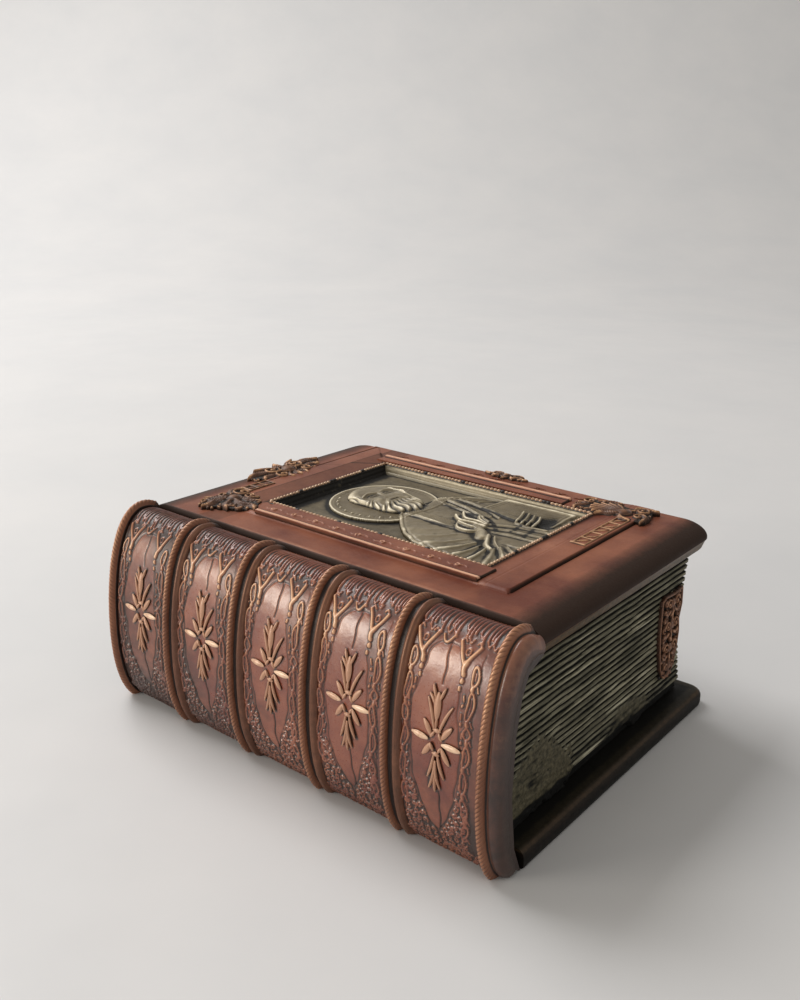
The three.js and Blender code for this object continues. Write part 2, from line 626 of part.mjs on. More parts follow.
function lidBoardSolid() {
  const noseZ = LID_TOP - LID_SHOULDER_DROP;
  const rings = [
    lidRing(LID_BAND_TAPER, LID_BAND_TAPER, 0, LID_BOTTOM),
    lidRing(LID_BAND_TAPER / 3, LID_BAND_TAPER / 3, 0, noseZ - LID_BAND_TAPER / 2),
    lidRing(0, 0, 0, noseZ),
  ];
  for (const turnShare of [0.17, 0.34, 0.5, 0.67, 0.84, 1]) {
    const angle = (Math.PI / 2) * turnShare;
    const share = 1 - Math.cos(angle);
    const z = noseZ + LID_SHOULDER_DROP * Math.sin(angle);
    rings.push(lidRing(LID_SHOULDER * share, LID_FORE_ROUND * share, LID_BACK_ROUND * turnShare ** 3, z));
  }
  const field = toSolid(block(PLINTH_HEAD, PLINTH_TAIL, PLINTH_SPINE, PLINTH_FORE, RECESS_FLOOR, PLINTH_TOP));
  const recess = toSolid(block(
    RECESS_HEAD, RECESS_TAIL, RECESS_SPINE, RECESS_FORE, RECESS_FLOOR, PLINTH_TOP + OVERRUN,
  ));
  return toSolid(loft(rings)).add(field).subtract(recess);
}

const lidBoard = lidBoardSolid();
addPiece(lid, "lid_board", toGeometry(lidBoard), cordovan);

const PLUG_TOP = LID_BOTTOM - GAP;
const PLUG_BOTTOM = PLUG_TOP - PLUG_HEIGHT;
addPiece(lid, "lid_locating_plug", makeLining(PLUG_CLEARANCE, PLUG_BOTTOM, PLUG_HEIGHT), leaves);
addPiece(lid, "lid_lining",
  makeLining(PLUG_CLEARANCE + GAP, PLUG_BOTTOM - GAP - LINING_THICKNESS, LINING_THICKNESS), velvet);

// Rails beside the picture: a flat member with a raised outer ridge, mitred where it passes a corner
function railEnd(end, corner, innerY, outward) {
  const past = Math.abs(end) - Math.abs(corner);
  return past > 0 ? [[corner, innerY], [end, innerY + outward * past]] : [[end, innerY]];
}

function makeRail(innerY, outward, width, headEnd, tailEnd) {
  const base = PLINTH_TOP + GAP;
  const top = base + RAIL_RISE;
  const outer = width + RAIL_RIDGE;
  const outline = [
    [0, base], [outer, base], [outer, top], [outer - RAIL_RIDGE / 3, top + RAIL_RIDGE_RISE],
    [width, top + RAIL_RIDGE_RISE], [width - RAIL_RIDGE / 3, top], [0, top],
  ].map(([out, z]) => [innerY + outward * out, z]);
  const plan = [
    ...railEnd(headEnd, RECESS_HEAD, innerY, outward).reverse(),
    ...railEnd(tailEnd, RECESS_TAIL, innerY, outward),
    [tailEnd, innerY + outward * OVERRUN],
    [headEnd, innerY + outward * OVERRUN],
  ];
  const rail = toSolid(prism("x", outline, headEnd, tailEnd));
  return toGeometry(rail.intersect(toSolid(prism("z", plan, LID_BOTTOM, PLINTH_TOP + OVERRUN))));
}

const RAIL_SET_BACK = BEAD_SET_BACK + BEAD_WIDTH + GAP;
addPiece(lid, "frame_rail_spine",
  makeRail(RECESS_SPINE - RAIL_SET_BACK, -1, SPINE_RAIL_WIDTH,
    RECESS_HEAD + SPINE_RAIL_HEAD_SETBACK, RECESS_TAIL + SPINE_RAIL_TAIL_OVERHANG), cordovan);
addPiece(lid, "frame_rail_fore",
  makeRail(RECESS_FORE + RAIL_SET_BACK, 1, FORE_RAIL_WIDTH,
    RECESS_HEAD - FORE_RAIL_HEAD_OVERHANG, RECESS_TAIL - FORE_RAIL_TAIL_SETBACK), cordovan);

// Bead mouldings round the sunk field: half-round strips that meet at the corners
function beadStrip(axis, line, side, from, to) {
  const near = line + side * BEAD_SET_BACK;
  const far = near + side * BEAD_WIDTH;
  const base = PLINTH_TOP + GAP;
  const outline = Array.from({ length: BEAD_STEPS + 1 }, (_, i) => {
    const angle = (Math.PI * i) / BEAD_STEPS;
    return [(near + far) / 2 + (Math.abs(far - near) / 2) * Math.cos(angle), base + BEAD_RISE * Math.sin(angle)];
  });
  return prism(axis, outline, from, to);
}

const beadOut = BEAD_SET_BACK + BEAD_WIDTH;
const beadFrom = RECESS_HEAD - BEAD_SET_BACK + GAP;
const beadTo = RECESS_TAIL + BEAD_SET_BACK - GAP;
addPiece(lid, "bead_strip_spine", beadStrip("x", RECESS_SPINE, -1, beadFrom, beadTo), copper);
addPiece(lid, "bead_strip_fore", beadStrip("x", RECESS_FORE, 1, beadFrom, beadTo), copper);
addPiece(lid, "bead_strip_head",
  beadStrip("y", RECESS_HEAD, -1, RECESS_SPINE - beadOut, RECESS_FORE + beadOut), copper);
addPiece(lid, "bead_strip_tail",
  beadStrip("y", RECESS_TAIL, 1, RECESS_SPINE - beadOut, RECESS_FORE + beadOut), copper);

// Relief: a plaque in the sunk field, a halo plate with a raised rim, and a robed half-length figure
const PLAQUE_BOTTOM = RECESS_FLOOR + GAP;
const PLAQUE_TOP = PLAQUE_BOTTOM + PLAQUE_THICKNESS;
addPiece(lid, "relief_plaque", block(
  RECESS_HEAD + PLAQUE_FIT, RECESS_TAIL - PLAQUE_FIT,
  RECESS_SPINE + PLAQUE_FIT, RECESS_FORE - PLAQUE_FIT, PLAQUE_BOTTOM, PLAQUE_TOP,
), bronze);

const HALO_BOTTOM = PLAQUE_TOP + GAP;
const HALO_TOP = HALO_BOTTOM + HALO_THICKNESS;
// The robe's outline, from the neck to the tail end of the sunk field, and the swelling forms on it. All are
// shares of the sunk field's half length and half depth from its middle, and of the figure's rise.
const robeOutlineShares = [
  [-0.2, -0.16], [-0.08, -0.34], [0.02, -0.62], [0.1, -0.82], [0.24, -0.95], [0.5, -1], [1, -1],
  [1, 1], [0.5, 1], [0.2, 0.98], [0.06, 0.86], [-0.04, 0.66], [-0.12, 0.4], [-0.2, 0.24],
];
// Along, across, half length, half width, rise, turn as a share of a full turn
const formShares = {
  head: [-0.44, 0.05, 0.25, 0.31, 1, 0.04],
  beard: [-0.25, 0.1, 0.17, 0.22, 0.85, 0.04],
  chest: [0.42, 0.02, 0.5, 0.6, 0.72, 0],
  foreShoulder: [0.2, 0.62, 0.28, 0.3, 0.8, 0.02],
  spineShoulder: [0.2, -0.6, 0.3, 0.32, 0.8, -0.02],
  spineArm: [0.62, -0.7, 0.36, 0.26, 0.9, 0],
  cuff: [0.8, -0.42, 0.2, 0.3, 1, 0.08],
  palm: [0.52, 0.02, 0.18, 0.15, 1.02, -0.04],
  longFinger: [0.34, 0.08, 0.14, 0.06, 0.98, 0.02],
  shortFinger: [0.4, -0.06, 0.12, 0.06, 0.92, -0.03],
  restingHand: [0.76, 0.5, 0.12, 0.17, 1.02, 0.1],
};
const bookOutlineShares = [[0.6, 0.72], [0.66, 0.24], [0.99, 0.34], [0.93, 0.82]];
const bookRiseShare = 0.72;

function figureSolid() {
  const halfLength = (RECESS_TAIL - RECESS_HEAD) / 2 - PLAQUE_FIT;
  const halfDepth = (RECESS_FORE - RECESS_SPINE) / 2 - PLAQUE_FIT;
  const place = ([along, across]) => [FRAME_MIDDLE_X + along * halfLength, FRAME_MIDDLE_Y + across * halfDepth];
  const robe = toSolid(prism("z", robeOutlineShares.map(place), HALO_BOTTOM, HALO_TOP + ROBE_RISE, HALO_THICKNESS));
  const book = toSolid(prism("z", bookOutlineShares.map(place), HALO_BOTTOM, HALO_TOP + bookRiseShare * FIGURE_RISE));
  const forms = Object.values(formShares).map(([along, across, lengthShare, widthShare, riseShare, turnShare]) => {
    const form = ellipsoid(lengthShare * halfLength, widthShare * halfDepth, riseShare * FIGURE_RISE, 12, 6);
    form.rotateZ(2 * Math.PI * turnShare);
    const [x, y] = place([along, across]);
    return toSolid(form.translate(x, y, HALO_TOP));
  });
  const room = toSolid(block(
    RECESS_HEAD + PLAQUE_FIT, RECESS_TAIL - PLAQUE_FIT, RECESS_SPINE + PLAQUE_FIT, RECESS_FORE - PLAQUE_FIT,
    HALO_BOTTOM, PLINTH_TOP + OVERRUN,
  ));
  return join([robe, book, ...forms]).intersect(room);
}

function haloSolid() {
  const plate = new THREE.LatheGeometry([
    new THREE.Vector2(0, HALO_BOTTOM),
    new THREE.Vector2(HALO_RADIUS, HALO_BOTTOM),
    new THREE.Vector2(HALO_RADIUS, HALO_TOP + HALO_THICKNESS / 3),
    new THREE.Vector2(HALO_RADIUS - HALO_RIM, HALO_TOP + HALO_THICKNESS / 3),
    new THREE.Vector2(HALO_RADIUS - HALO_RIM, HALO_TOP - HALO_THICKNESS / 3),
    new THREE.Vector2(0, HALO_TOP - HALO_THICKNESS / 3),
  ], 48);
  plate.rotateX(Math.PI / 2);
  plate.translate(HALO_X, FRAME_MIDDLE_Y, 0);
  return toSolid(plate);
}

const figure = figureSolid();
addPiece(lid, "relief_figure", toGeometry(figure), bronze);
const figureRoom = join([
  figure.translate([GAP, 0, 0]), figure.translate([-GAP, 0, 0]),
  figure.translate([0, GAP, 0]), figure.translate([0, -GAP, 0]), figure.translate([0, 0, -GAP]), figure,
]);
addPiece(lid, "relief_halo", toGeometry(haloSolid().subtract(figureRoom)), bronze);

// Cast mounts: clusters of leaves trimmed to sit on the lid. A leaf's row holds its place and half size
// as shares of the mount's half size, and its turn as a share of a full turn.
const lidRoom = lidBoard.translate([0, 0, GAP]);
const cornerLeafShares = [
  [0, 0, 0.8, 0.55, 0.07], [-0.5, -0.4, 0.6, 0.4, 0.14], [0.5, 0.2, 0.55, 0.35, 0],
  [0.1, 0.55, 0.4, 0.45, 0.04], [-0.2, -0.7, 0.35, 0.3, 0.2], [0.72, -0.1, 0.3, 0.22, -0.03],
];
const palmetteLeafShares = [
  [0, 0, 0.62, 0.5, 0], [-0.42, 0, 0.5, 0.34, 0], [0.15, -0.42, 0.42, 0.36, 0.04],
  [0.1, 0.46, 0.42, 0.36, -0.04], [0.45, 0, 0.42, 0.3, 0], [0.05, -0.78, 0.28, 0.22, 0.05],
  [0.05, 0.78, 0.28, 0.22, -0.05],
];
const spurLeafShares = [
  [0, 0, 0.6, 0.9, 0], [-0.58, 0.1, 0.42, 0.6, 0.03], [0.58, 0.1, 0.42, 0.6, -0.03], [0, 0.3, 0.36, 0.7, 0],
];
const cornerSpurLeafShares = [
  [0.5, 0.1, 0.5, 0.5, -0.07], [-0.1, 0.2, 0.42, 0.4, 0.01], [-0.62, 0.1, 0.36, 0.3, 0.05],
  [0.72, -0.4, 0.26, 0.58, 0],
];
const MOUNTS = {
  corner_mount_spine: {
    x: PLINTH_HEAD + CORNER_MOUNT_LENGTH / 2 + CORNER_MOUNT_INSET,
    y: PLINTH_SPINE + CORNER_MOUNT_DEPTH / 2 - CORNER_MOUNT_DROP,
    halfX: CORNER_MOUNT_LENGTH / 2, halfY: CORNER_MOUNT_DEPTH / 2, leafShares: cornerLeafShares,
  },
  side_mount_head: {
    x: PLINTH_HEAD - SIDE_MOUNT_OVERHANG, y: FRAME_MIDDLE_Y,
    halfX: SIDE_MOUNT_WIDTH / 2, halfY: SIDE_MOUNT_LENGTH / 2, leafShares: palmetteLeafShares,
  },
  side_mount_fore: {
    x: FRAME_MIDDLE_X, y: PLINTH_FORE - SPUR_SET_BACK,
    halfX: SPUR_LENGTH / 2, halfY: SPUR_WIDTH / 2, leafShares: spurLeafShares,
  },
  corner_mount_fore: {
    x: PLINTH_TAIL + CORNER_SPUR_OVERHANG - CORNER_SPUR_LENGTH / 2, y: PLINTH_FORE - CORNER_SPUR_SET_BACK,
    halfX: CORNER_SPUR_LENGTH / 2, halfY: CORNER_SPUR_WIDTH / 2, leafShares: cornerSpurLeafShares,
  },
};

function mountSolid({ x, y, halfX, halfY, leafShares }) {
  return join(leafShares.map(([alongShare, acrossShare, lengthShare, widthShare, turnShare]) => {
    const leaf = ellipsoid(lengthShare * halfX, widthShare * halfY, ORNAMENT_RISE + PLINTH_RISE, 10, 6);
    leaf.rotateZ(2 * Math.PI * turnShare);
    return toSolid(leaf.translate(x + alongShare * halfX, y + acrossShare * halfY, LID_TOP));
  }));
}

// A flat ladder-like strip of the raised field, between two places along the depth
function ladderSolid(head, back, fore, openings) {
  const tail = head + LADDER_WIDTH;
  const base = PLINTH_TOP + GAP;
  const pitch = (fore - back - LADDER_BAR) / (openings + 1);
  const strip = toSolid(block(head, tail, back, fore, base, base + LADDER_RISE));
  const holes = Array.from({ length: openings }, (_, i) => toSolid(block(
    head + LADDER_BAR, tail - LADDER_BAR, back + LADDER_BAR + i * pitch, back + (i + 1) * pitch,
    LID_TOP, PLINTH_TOP + OVERRUN,
  )));
  return strip.subtract(join(holes));
}

// The fore corner mount runs on along the tail side, and the spine corner mount along the head side
const ladderFore = PLINTH_FORE - LADDER_SET_BACK;
const LADDERS = {
  corner_mount_fore: ladderSolid(
    PLINTH_TAIL - LADDER_MARGIN - LADDER_WIDTH, ladderFore - LADDER_LENGTH, ladderFore, LADDER_OPENINGS),
  corner_mount_spine: ladderSolid(
    PLINTH_HEAD + HEAD_LADDER_MARGIN, MOUNTS.corner_mount_spine.y + HEAD_LADDER_RAISE,
    FRAME_MIDDLE_Y - HEAD_LADDER_SET_BACK, HEAD_LADDER_OPENINGS),
};

for (const [name, mount] of Object.entries(MOUNTS)) {
  const bare = mountSolid(mount);
  const whole = LADDERS[name] ? bare.add(LADDERS[name]) : bare;
  addPiece(lid, name, toGeometry(whole.subtract(lidRoom)), copper);
}

// The part's frame: origin on the table under the middle of the whole book
model.position.y = (SPINE_BULGE + RIB_PROUD - COVER_DEPTH) / 2;

export default model;
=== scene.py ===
import math

import bpy
import numpy as np
from mathutils import Matrix, Vector


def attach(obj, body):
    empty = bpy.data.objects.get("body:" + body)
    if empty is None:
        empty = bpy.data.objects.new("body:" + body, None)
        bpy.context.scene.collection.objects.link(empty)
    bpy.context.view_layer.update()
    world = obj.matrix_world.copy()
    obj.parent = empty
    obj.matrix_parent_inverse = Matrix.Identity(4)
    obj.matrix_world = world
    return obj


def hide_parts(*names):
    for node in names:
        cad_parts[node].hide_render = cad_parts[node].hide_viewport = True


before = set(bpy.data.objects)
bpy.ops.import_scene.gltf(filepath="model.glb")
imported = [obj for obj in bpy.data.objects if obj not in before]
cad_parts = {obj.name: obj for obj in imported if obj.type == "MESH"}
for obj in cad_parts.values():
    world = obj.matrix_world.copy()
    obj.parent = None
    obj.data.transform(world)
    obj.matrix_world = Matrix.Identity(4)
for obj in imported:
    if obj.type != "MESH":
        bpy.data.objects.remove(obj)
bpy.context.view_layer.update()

# Lengths below are in millimetres in the shared frame, and meshes are scaled to metres at the end
MM = 0.001
SEAM_Y = -41.6
HALF_SPINE = 76.3
PANEL_PITCH = 29.0
RIM_X = 72.5


# Mesh making

def mesh_object(name, points, quads, triangles, values, material, body, replaced, sharp):
    """A closed mesh from points in millimetres, with named values on its points for the material."""
    quads = np.asarray(quads, np.int64).reshape(-1, 4)
    triangles = np.asarray(triangles, np.int64).reshape(-1, 3)
    points = np.asarray(points, float)
    if enclosed_volume(points, quads, triangles) < 0:
        quads = quads[:, ::-1]
        triangles = triangles[:, ::-1]
    corners = np.concatenate([quads.ravel(), triangles.ravel()])
    counts = np.concatenate([np.full(len(quads), 4), np.full(len(triangles), 3)])
    mesh = bpy.data.meshes.new(name)
    mesh.vertices.add(len(points))
    mesh.vertices.foreach_set("co", (points * MM).astype(np.float32).ravel())
    mesh.loops.add(len(corners))
    mesh.loops.foreach_set("vertex_index", corners.astype(np.int32))
    mesh.polygons.add(len(counts))
    mesh.polygons.foreach_set("loop_start", (np.cumsum(counts) - counts).astype(np.int32))
    mesh.update(calc_edges=True)
    mesh.validate()
    mesh.polygons.foreach_set("use_smooth", np.ones(len(mesh.polygons), bool))
    mesh.set_sharp_from_angle(angle=math.radians(sharp))
    for label, value in values.items():
        attribute = mesh.attributes.new(label, "FLOAT", "POINT")
        attribute.data.foreach_set("value", np.clip(value, 0, 1).astype(np.float32).ravel())
    mesh.materials.append(material)
    piece = bpy.data.objects.new(name, mesh)
    bpy.context.scene.collection.objects.link(piece)
    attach(piece, body)
    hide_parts(*replaced)


def enclosed_volume(points, quads, triangles):
    faces = np.concatenate([triangles, quads[:, [0, 1, 2]], quads[:, [0, 2, 3]]])
    a, b, c = (points[faces[:, k]] for k in range(3))
    return np.einsum("ij,ij->", a, np.cross(b, c)) / 6


def xyz(x, y, z):
    """Points from their coordinates, which are arrays that go together or single numbers."""
    return np.stack(np.broadcast_arrays(x, y, z), -1)


def grid_quads(rows, columns, first):
    index = first + np.arange(rows * columns).reshape(rows, columns)
    return np.stack([index[:-1, :-1], index[1:, :-1], index[1:, 1:], index[:-1, 1:]], -1).reshape(-1, 4)


def border(rows, columns, first=0):
    index = first + np.arange(rows * columns).reshape(rows, columns)
    return [index[0, :], index[:, -1], index[-1, ::-1], index[::-1, 0]]


def zip_lines(line_a, line_b):
    """Triangles between two lines of points that run side by side and may differ in count."""
    faces = []
    i = j = 0
    last_a = len(line_a) - 1
    last_b = len(line_b) - 1
    while i < last_a or j < last_b:
        if j == last_b or (i < last_a and (i + 1) / last_a <= (j + 1) / last_b):
            if len({line_a[i], line_a[i + 1], line_b[j]}) == 3:
                faces.append((line_a[i], line_b[j], line_a[i + 1]))
            i += 1
        else:
            if len({line_a[i], line_b[j + 1], line_b[j]}) == 3:
                faces.append((line_a[i], line_b[j], line_b[j + 1]))
            j += 1
    return faces


class Builder:
    """Gathers closed parts of one piece."""

    def __init__(self):
        self.points = []
        self.quads = []
        self.triangles = []
        self.values = {"wear_and_highlight": [], "dirt_and_shade": [], "tone": []}
        self.count = 0

    def add_points(self, points, wear_and_highlight, dirt_and_shade, tone=0.0):
        points = np.asarray(points, float).reshape(-1, 3)
        first = self.count
        self.points.append(points)
        for label, value in (("wear_and_highlight", wear_and_highlight), ("dirt_and_shade", dirt_and_shade), ("tone", tone)):
            self.values[label].append(np.broadcast_to(np.ravel(value), len(points)))
        self.count += len(points)
        return first

    def slab(self, top, bottom, wear_and_highlight, dirt_and_shade, bottom_dirt=0.6, tone=0.0):
        """A closed sheet between a fine grid and a coarse one, joined round their borders."""
        first = self.add_points(top, wear_and_highlight, dirt_and_shade, tone)
        under = self.add_points(bottom, 0.0, bottom_dirt)
        rows, columns = top.shape[:2]
        low_rows, low_columns = bottom.shape[:2]
        self.quads.append(grid_quads(rows, columns, first))
        self.quads.append(grid_quads(low_rows, low_columns, under)[:, ::-1])
        for upper, lower in zip(border(rows, columns, first), border(low_rows, low_columns, under)):
            self.triangles += zip_lines(upper, lower)

    def board(self, lines_x, lines_y, surface, rings, pocket):
        """A closed board: a fine top, rings down over its edge, and a flat underside."""
        grid_x, grid_y = np.meshgrid(lines_x, lines_y, indexing="ij")
        bounds, radius = rings[0][:2]
        x, y = round_plan(grid_x, grid_y, bounds, bounds, radius)
        z, wear_and_highlight, dirt_and_shade, tone = surface(x, y)
        first = self.add_points(xyz(x, y, z), wear_and_highlight, dirt_and_shade, tone)
        rows, columns = grid_x.shape
        self.quads.append(grid_quads(rows, columns, first))
        loop = np.concatenate([side[:-1] for side in border(rows, columns)])
        edge_x, edge_y = grid_x.ravel()[loop], grid_y.ravel()[loop]
        last = loop + first
        for ring_bounds, ring_radius, z, wear_and_highlight, dirt_and_shade, tone in rings[1:]:
            ring_x, ring_y = round_plan(edge_x, edge_y, bounds, ring_bounds, ring_radius)
            points = xyz(ring_x, ring_y, z)
            ring = self.add_points(points, wear_and_highlight, dirt_and_shade, tone) + np.arange(len(loop))
            self.quads.append(np.stack([last, np.roll(last, -1), np.roll(ring, -1), ring], -1))
            last = ring
        x0, x1, y0, y1, z = pocket
        low_rows, low_columns = 9, 7
        low_x, low_y = np.linspace(x0, x1, low_rows), np.linspace(y0, y1, low_columns)
        under_x, under_y = np.meshgrid(low_x, low_y, indexing="ij")
        under = self.add_points(xyz(under_x, under_y, z), 0.0, 0.4)
        self.quads.append(grid_quads(low_rows, low_columns, under)[:, ::-1])
        start = 0
        lower_sides = border(low_rows, low_columns, under)
        for count, lower in zip((columns - 1, rows - 1) * 2, lower_sides):
            upper = last[np.arange(start, start + count + 1) % len(last)]
            self.triangles += zip_lines(upper, lower)
            start += count

    def masked(self, top, keep, bottom, wear_and_highlight, dirt_and_shade):
        """A closed relief: the kept cells of a grid, the same cells underneath, and walls round them."""
        rows, columns = top.shape[:2]
        index = np.arange(rows * columns).reshape(rows, columns)
        cells = clean_cells(keep[:-1, :-1] & keep[1:, :-1] & keep[1:, 1:] & keep[:-1, 1:])
        corners = np.stack([index[:-1, :-1], index[1:, :-1], index[1:, 1:], index[:-1, 1:]], -1)[cells]
        used = np.zeros(rows * columns, bool)
        used[corners.ravel()] = True
        remap = np.cumsum(used) - 1
        first = self.add_points(top.reshape(-1, 3)[used], wear_and_highlight.ravel()[used], dirt_and_shade.ravel()[used])
        under = self.add_points(bottom.reshape(-1, 3)[used], 0.0, 0.6)
        upper = remap[corners]
        self.quads.append(upper + first)
        self.quads.append((upper + under)[:, ::-1])
        edges = np.concatenate([upper[:, [k, (k + 1) % 4]] for k in range(4)])
        size = used.sum()
        key = edges[:, 0] * size + edges[:, 1]
        twin = edges[:, 1] * size + edges[:, 0]
        outer = edges[~np.isin(key, twin)]
        a, b = outer[:, 0], outer[:, 1]
        self.quads.append(np.stack([b + first, a + first, a + under, b + under], -1))

    def tube(self, path, radius, sides, squash, normals, wear_and_highlight, dirt_and_shade):
        """A closed rod with rounded ends along a path; squash flattens it along the normals."""
        path = np.asarray(path, float)
        along = np.gradient(path, axis=0)
        along /= np.linalg.norm(along, axis=1, keepdims=True) + 1e-9
        side = np.cross(along, normals)
        side /= np.linalg.norm(side, axis=1, keepdims=True) + 1e-9
        lift = np.cross(side, along)
        radius = np.broadcast_to(radius, len(path))
        angle = np.linspace(0, 2 * np.pi, sides, endpoint=False)[None, :, None]
        ring = np.cos(angle) * side[:, None] + squash * np.sin(angle) * lift[:, None]
        body = path[:, None] + ring * radius[:, None, None]
        caps = []
        for end, sign in ((0, -1), (-1, 1)):
            out = sign * along[end] * radius[end]
            rounds = []
            for share in (0.45, 0.8):
                turn = share * math.pi / 2
                rounds.append(path[end] + out * math.sin(turn) + ring[end] * radius[end] * math.cos(turn))
            caps.append((rounds, path[end] + out))
        rings = [*caps[0][0][::-1], *body, *caps[1][0]]
        total = len(rings)
        first = self.add_points(np.array(rings), wear_and_highlight, dirt_and_shade)
        tips = self.add_points(np.array([caps[0][1], caps[1][1]]), wear_and_highlight, dirt_and_shade)
        index = first + np.arange(total * sides).reshape(total, sides)
        turned = np.roll(index, -1, axis=1)
        self.quads.append(np.stack([index[:-1], index[1:], turned[1:], turned[:-1]], -1).reshape(-1, 4))
        self.triangles += [(tips, a, b) for a, b in zip(index[0], turned[0])]
        self.triangles += [(tips + 1, b, a) for a, b in zip(index[-1], turned[-1])]

    def build(self, name, material, body, replaced, sharp=50):
        quads = np.concatenate(self.quads)
        values = {key: np.concatenate(parts) for key, parts in self.values.items()}
        points = np.concatenate(self.points)
        mesh_object(name, points, quads, self.triangles, values, material, body, replaced, sharp)


def round_plan(x, y, bounds, target, radius):
    """Carries points of one rectangle over to another one, whose two fore corners are rounded."""
    reach = 6.0
    x0, x1, y0, y1 = bounds
    t0, t1, u0, u1 = target
    low, high = x0 + reach, x1 - reach
    stretch = t0 + reach + (x - low) * (t1 - t0 - 2 * reach) / (high - low)
    new_x = np.where(x < low, t0 + x - x0, np.where(x > high, t1 + x - x1, stretch))
    fore = y1 - reach
    new_y = np.where(y > fore, u1 + y - y1, u0 + (y - y0) * (u1 - reach - u0) / (fore - y0))
    for side, edge in ((-1, t0), (1, t1)):
        a = (side * (new_x - edge) + reach) / reach
        b = (new_y - u1 + reach) / reach
        inside = (a > 1e-9) & (b > 1e-9)
        if not inside.any():
            continue
        a, b = a[inside], b[inside]
        most = np.maximum(a, b)
        share = np.where(a >= b, b / (2 * most), 1 - a / (2 * most))
        side_length = most * reach
        turn = np.minimum(radius * most, side_length * 0.999)
        straight = side_length - turn
        total = 2 * straight + turn * math.pi / 2
        at = share * total
        angle = np.clip((at - straight) / turn, 0, math.pi / 2)
        along = np.where(at < straight, side_length, straight + turn * np.cos(angle))
        along = np.where(at > total - straight, total - at, along)
        across = np.where(at < straight, at, straight + turn * np.sin(angle))
        across = np.where(at > total - straight, side_length, across)
        new_x[inside] = edge + side * (along - reach)
        new_y[inside] = u1 - reach + across
    return new_x, new_y


def clean_cells(cells):
    """Leaves out cells that touch another only at a corner, so that the walls stay closed."""
    cells = cells.copy()
    for _ in range(6):
        a, b = cells[:-1, :-1], cells[:-1, 1:]
        c, d = cells[1:, :-1], cells[1:, 1:]
        crossing = (a & d & ~b & ~c) | (b & c & ~a & ~d)
        if not crossing.any():
            break
        fill = np.zeros_like(cells)
        for rows in (slice(None, -1), slice(1, None)):
            for columns in (slice(None, -1), slice(1, None)):
                fill[rows, columns] |= crossing
        cells |= fill
    return cells


# Height fields

def smooth(field, sigma_rows, sigma_columns):
    """Gaussian blur of a grid, with mirrored borders."""
    rows, columns = field.shape
    padded = np.concatenate([field, field[::-1]], 0)
    padded = np.concatenate([padded, padded[:, ::-1]], 1)
    fr = np.fft.fftfreq(2 * rows)[:, None]
    fc = np.fft.rfftfreq(2 * columns)[None]
    gain = np.exp(-2 * np.pi ** 2 * ((fr * sigma_rows) ** 2 + (fc * sigma_columns) ** 2))
    return np.fft.irfft2(np.fft.rfft2(padded) * gain, padded.shape)[:rows, :columns]


def relief_masks(height, step, near, far, wear_gain, dirt_gain):
    """Where paint has worn off raised detail and where dark wash stays in the grooves."""
    detail = smooth(height, near / step, near / step) - smooth(height, far / step, far / step)
    return np.clip(detail * wear_gain, 0, 1), np.clip(-detail * dirt_gain, 0, 1)


def noise_field(shape, step, scale, seed):
    """Smooth noise between about -1 and 1 on a grid."""
    generator = np.random.default_rng(seed)
    field = smooth(generator.normal(size=shape), scale / step, scale / step)
    return field / (field.std() * 2 + 1e-9)


def distance(x, y, points, closed):
    """Distance of grid points to a polyline."""
    points = np.asarray(points, float)
    if closed:
        points = np.concatenate([points, points[:1]])
    result = np.full(x.shape, 1e3)
    for (ax, ay), (bx, by) in zip(points[:-1], points[1:]):
        dx, dy = bx - ax, by - ay
        length = dx * dx + dy * dy + 1e-12
        t = np.clip(((x - ax) * dx + (y - ay) * dy) / length, 0, 1)
        result = np.minimum(result, (x - ax - t * dx) ** 2 + (y - ay - t * dy) ** 2)
    return np.sqrt(result)


def near_distance(x, y, points, reach, closed=False):
    """Distance to a polyline, worked out only within reach of it and large elsewhere."""
    points = np.asarray(points, float)
    low = points.min(0) - reach
    high = points.max(0) + reach
    near = (x > low[0]) & (x < high[0]) & (y > low[1]) & (y < high[1])
    result = np.full(x.shape, 1e3)
    if near.any():
        result[near] = distance(x[near], y[near], points, closed)
    return result


def round_bump(dist, half_width):
    return np.sqrt(np.clip(1 - (dist / half_width) ** 2, 0, 1))


def soft_bump(dist, half_width):
    share = np.clip(1 - (dist / half_width) ** 2, 0, 1)
    return share * share


def bell(value, middle, width):
    return np.exp(-((value - middle) / width) ** 2)


def blob(x, y, cx, cy, reach_x, reach_y):
    return np.exp(-(((x - cx) / reach_x) ** 2 + ((y - cy) / reach_y) ** 2))


def step_up(value, start, end):
    share = np.clip((value - start) / (end - start), 0, 1)
    return share * share * (3 - 2 * share)


def curve_points(knots, count):
    """A smooth line through the knots."""
    knots = np.asarray(knots, float)
    padded = np.concatenate([2 * knots[:1] - knots[1:2], knots, 2 * knots[-1:] - knots[-2:-1]])
    out = []
    for k in range(len(knots) - 1):
        p0, p1, p2, p3 = padded[k:k + 4]
        t = np.linspace(0, 1, max(2, count // (len(knots) - 1)), endpoint=False)[:, None]
        out.append(0.5 * (2 * p1 + (p2 - p0) * t + (2 * p0 - 5 * p1 + 4 * p2 - p3) * t ** 2
                          + (3 * p1 - p0 - 3 * p2 + p3) * t ** 3))
    return np.concatenate(out + [knots[-1:]])


def spiral(cx, cy, radius, turn, turns, hand, count):
    """A scroll that winds in from its rim."""
    t = np.linspace(0, 1, count)
    angle = turn + hand * 2 * np.pi * turns * t
    r = radius * (1 - 0.86 * t)
    return np.stack([cx + r * np.cos(angle), cy + r * np.sin(angle)], -1)


# Materials

